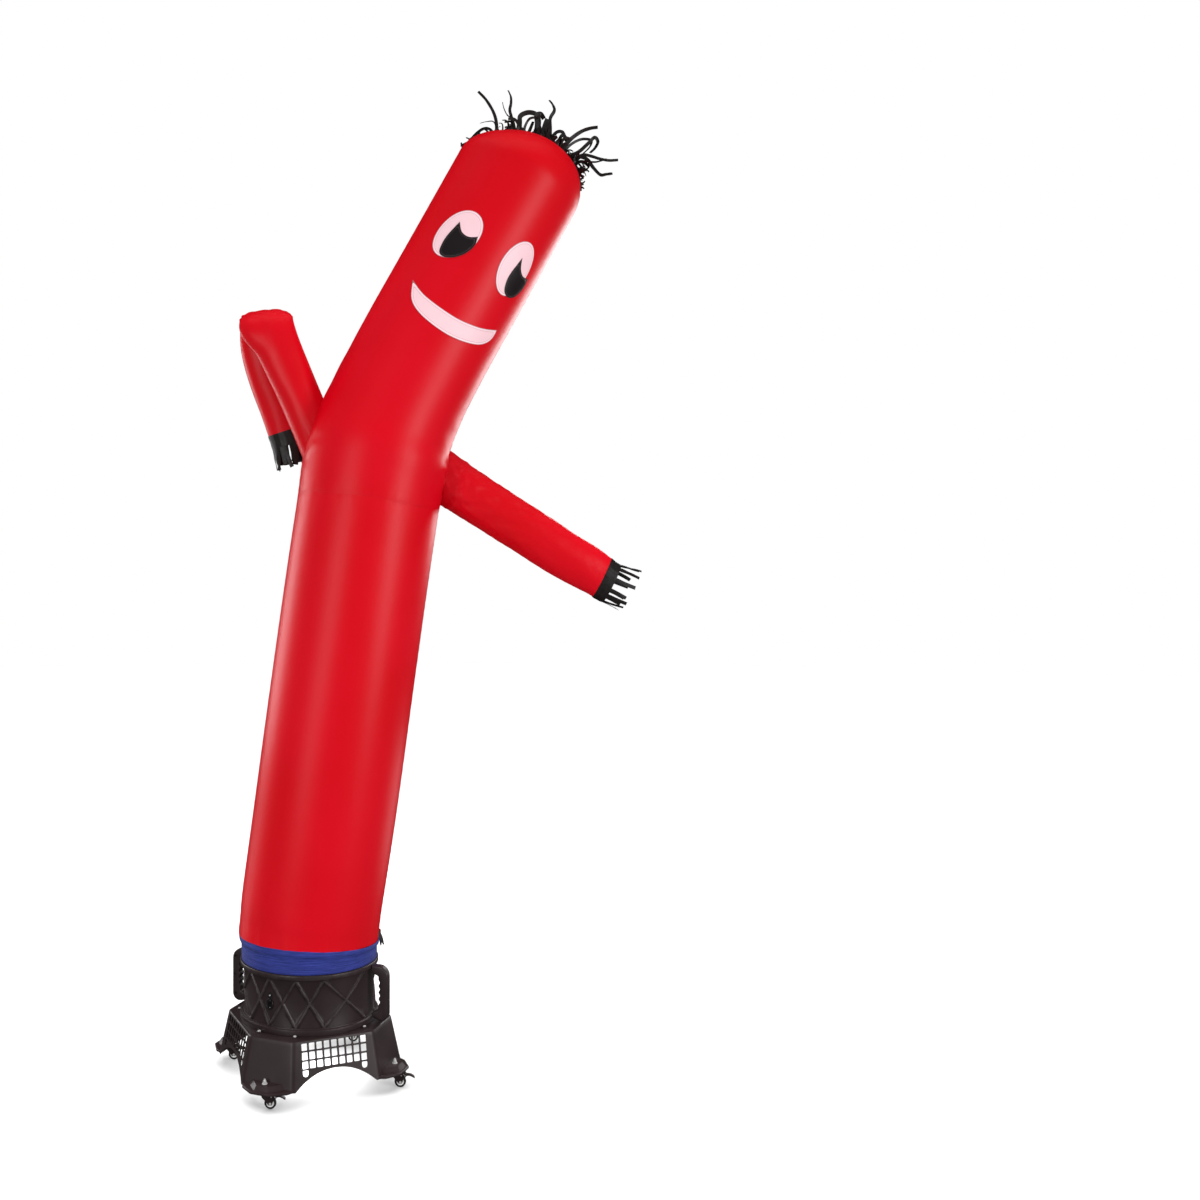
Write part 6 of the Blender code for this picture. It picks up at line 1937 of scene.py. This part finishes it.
def make_blower():
    finish(make_drum(), "housing", stands_for=("drum",))
    finish(make_skirt(), "plain_housing", stands_for=("skirt",))
    for name, node, deg in (("right_grip", "handle_right", CORNER_DEG + 90.0),
                            ("left_grip", "handle_left", CORNER_DEG - 90.0)):
        grip, screws = make_handle(name, deg)
        finish(grip, "plain_housing", stands_for=(node,))
        finish(screws, "black_steel")
    bosses, heads = make_deck_screws()
    finish(bosses, "plain_housing")
    finish(heads, "plated_steel")
    anchor, rivets, ring = make_tether()
    finish(anchor, "black_steel", stands_for=("tether_plate",))
    finish(rivets, "plated_steel")
    finish(ring, "black_steel", stands_for=("tether_ring",))
    make_casters()
    for node, paint in (("hook_tape", "hook_tape"), ("motor_mount", "plain_housing"), ("motor", "motor_case"),
                        ("fan_rotor", "fan"), ("outlet_guard", "black_wire")):
        repaint(node, paint)


# ---- the studio ----
FLOOR_R = 26.0
FLOOR_Z = -0.0006
WORLD_STRENGTH = 0.55
SUN_STRENGTH = 2.4
SUN_SPREAD_DEG = 70.0
LIGHTS = [
    # place,                 aim,                  width, height, watts
    ((-2.9, -4.2, 1.9), (-0.2, 0.0, 1.9), 1.0, 2.6, 76.0),
    ((3.7, -3.1, 1.9), (-0.2, 0.0, 1.9), 1.0, 2.6, 118.0),
    ((-4.2, 2.4, 2.1), (-0.2, 0.0, 1.9), 2.0, 2.2, 76.0),
    ((2.4, 3.5, 2.7), (0.1, 0.0, 2.3), 1.8, 2.0, 60.0),
    ((1.15, 1.10, 0.42), (-0.41, 0.0, 0.30), 0.9, 0.7, 2.6),
    ((-2.10, 0.90, 0.42), (-0.41, 0.0, 0.30), 0.9, 0.7, 2.0),
    ((-0.4104, 0.0, 0.115), (-0.4104, 0.0, 0.0), 0.26, 0.26, 1.2),
]
CAMERA_PLACE = (-0.1054, -4.09, 1.61)
CAMERA_SHIFT = 0.1675


def make_stage():
    clear_selection()
    bpy.ops.mesh.primitive_circle_add(vertices=64, radius=FLOOR_R, fill_type="NGON",
                                      location=(0.0, 0.0, FLOOR_Z))
    floor = settle(bpy.context.active_object)
    floor.name = "studio floor"
    pale = Paint("studio floor", (0.90, 0.90, 0.90), 0.75, Specular_IOR_Level=0.1)
    floor.data.materials.append(pale.finish)
    floor.visible_glossy = False
    floor.visible_diffuse = False
    world = bpy.data.worlds.new("studio")
    world.use_nodes = True
    world.cycles_visibility.glossy = False
    tree = world.node_tree
    backdrop = tree.nodes["Background"]
    backdrop.inputs["Color"].default_value = (1.0, 1.0, 1.0, 1.0)
    rays = tree.nodes.new("ShaderNodeLightPath")
    strength = tree.nodes.new("ShaderNodeMath")
    strength.operation = "MAXIMUM"
    strength.inputs[1].default_value = WORLD_STRENGTH
    tree.links.new(rays.outputs["Is Camera Ray"], strength.inputs[0])
    tree.links.new(strength.outputs[0], backdrop.inputs["Strength"])
    scene = bpy.context.scene
    scene.world = world
    for n, (place, aim, width, height, power) in enumerate(LIGHTS):
        glow = bpy.data.lights.new(f"softbox {n + 1}", "AREA")
        glow.shape = "RECTANGLE"
        glow.size, glow.size_y, glow.energy = width, height, power
        lamp = bpy.data.objects.new(glow.name, glow)
        lamp.location = place
        lamp.rotation_euler = (Vector(aim) - Vector(place)).to_track_quat("-Z", "Y").to_euler()
        scene.collection.objects.link(lamp)
    glow = bpy.data.lights.new("overhead", "SUN")
    glow.energy, glow.angle = SUN_STRENGTH, math.radians(SUN_SPREAD_DEG)
    lamp = bpy.data.objects.new(glow.name, glow)
    lamp.location = (0.0, 0.0, 8.0)
    lamp.visible_glossy = False
    scene.collection.objects.link(lamp)
    scene.view_settings.view_transform = "Standard"
    scene.view_settings.look = "None"


def make_camera():
    lens = bpy.data.cameras.new("camera")
    lens.lens = 36.0
    lens.sensor_width = 36.0
    lens.shift_x = CAMERA_SHIFT
    lens.dof.use_dof = False
    camera = bpy.data.objects.new("camera", lens)
    camera.location = CAMERA_PLACE
    camera.rotation_euler = (math.radians(90.0), 0.0, 0.0)
    bpy.context.scene.collection.objects.link(camera)
    bpy.context.scene.camera = camera


make_dancer()
make_blower()
make_stage()
make_camera()
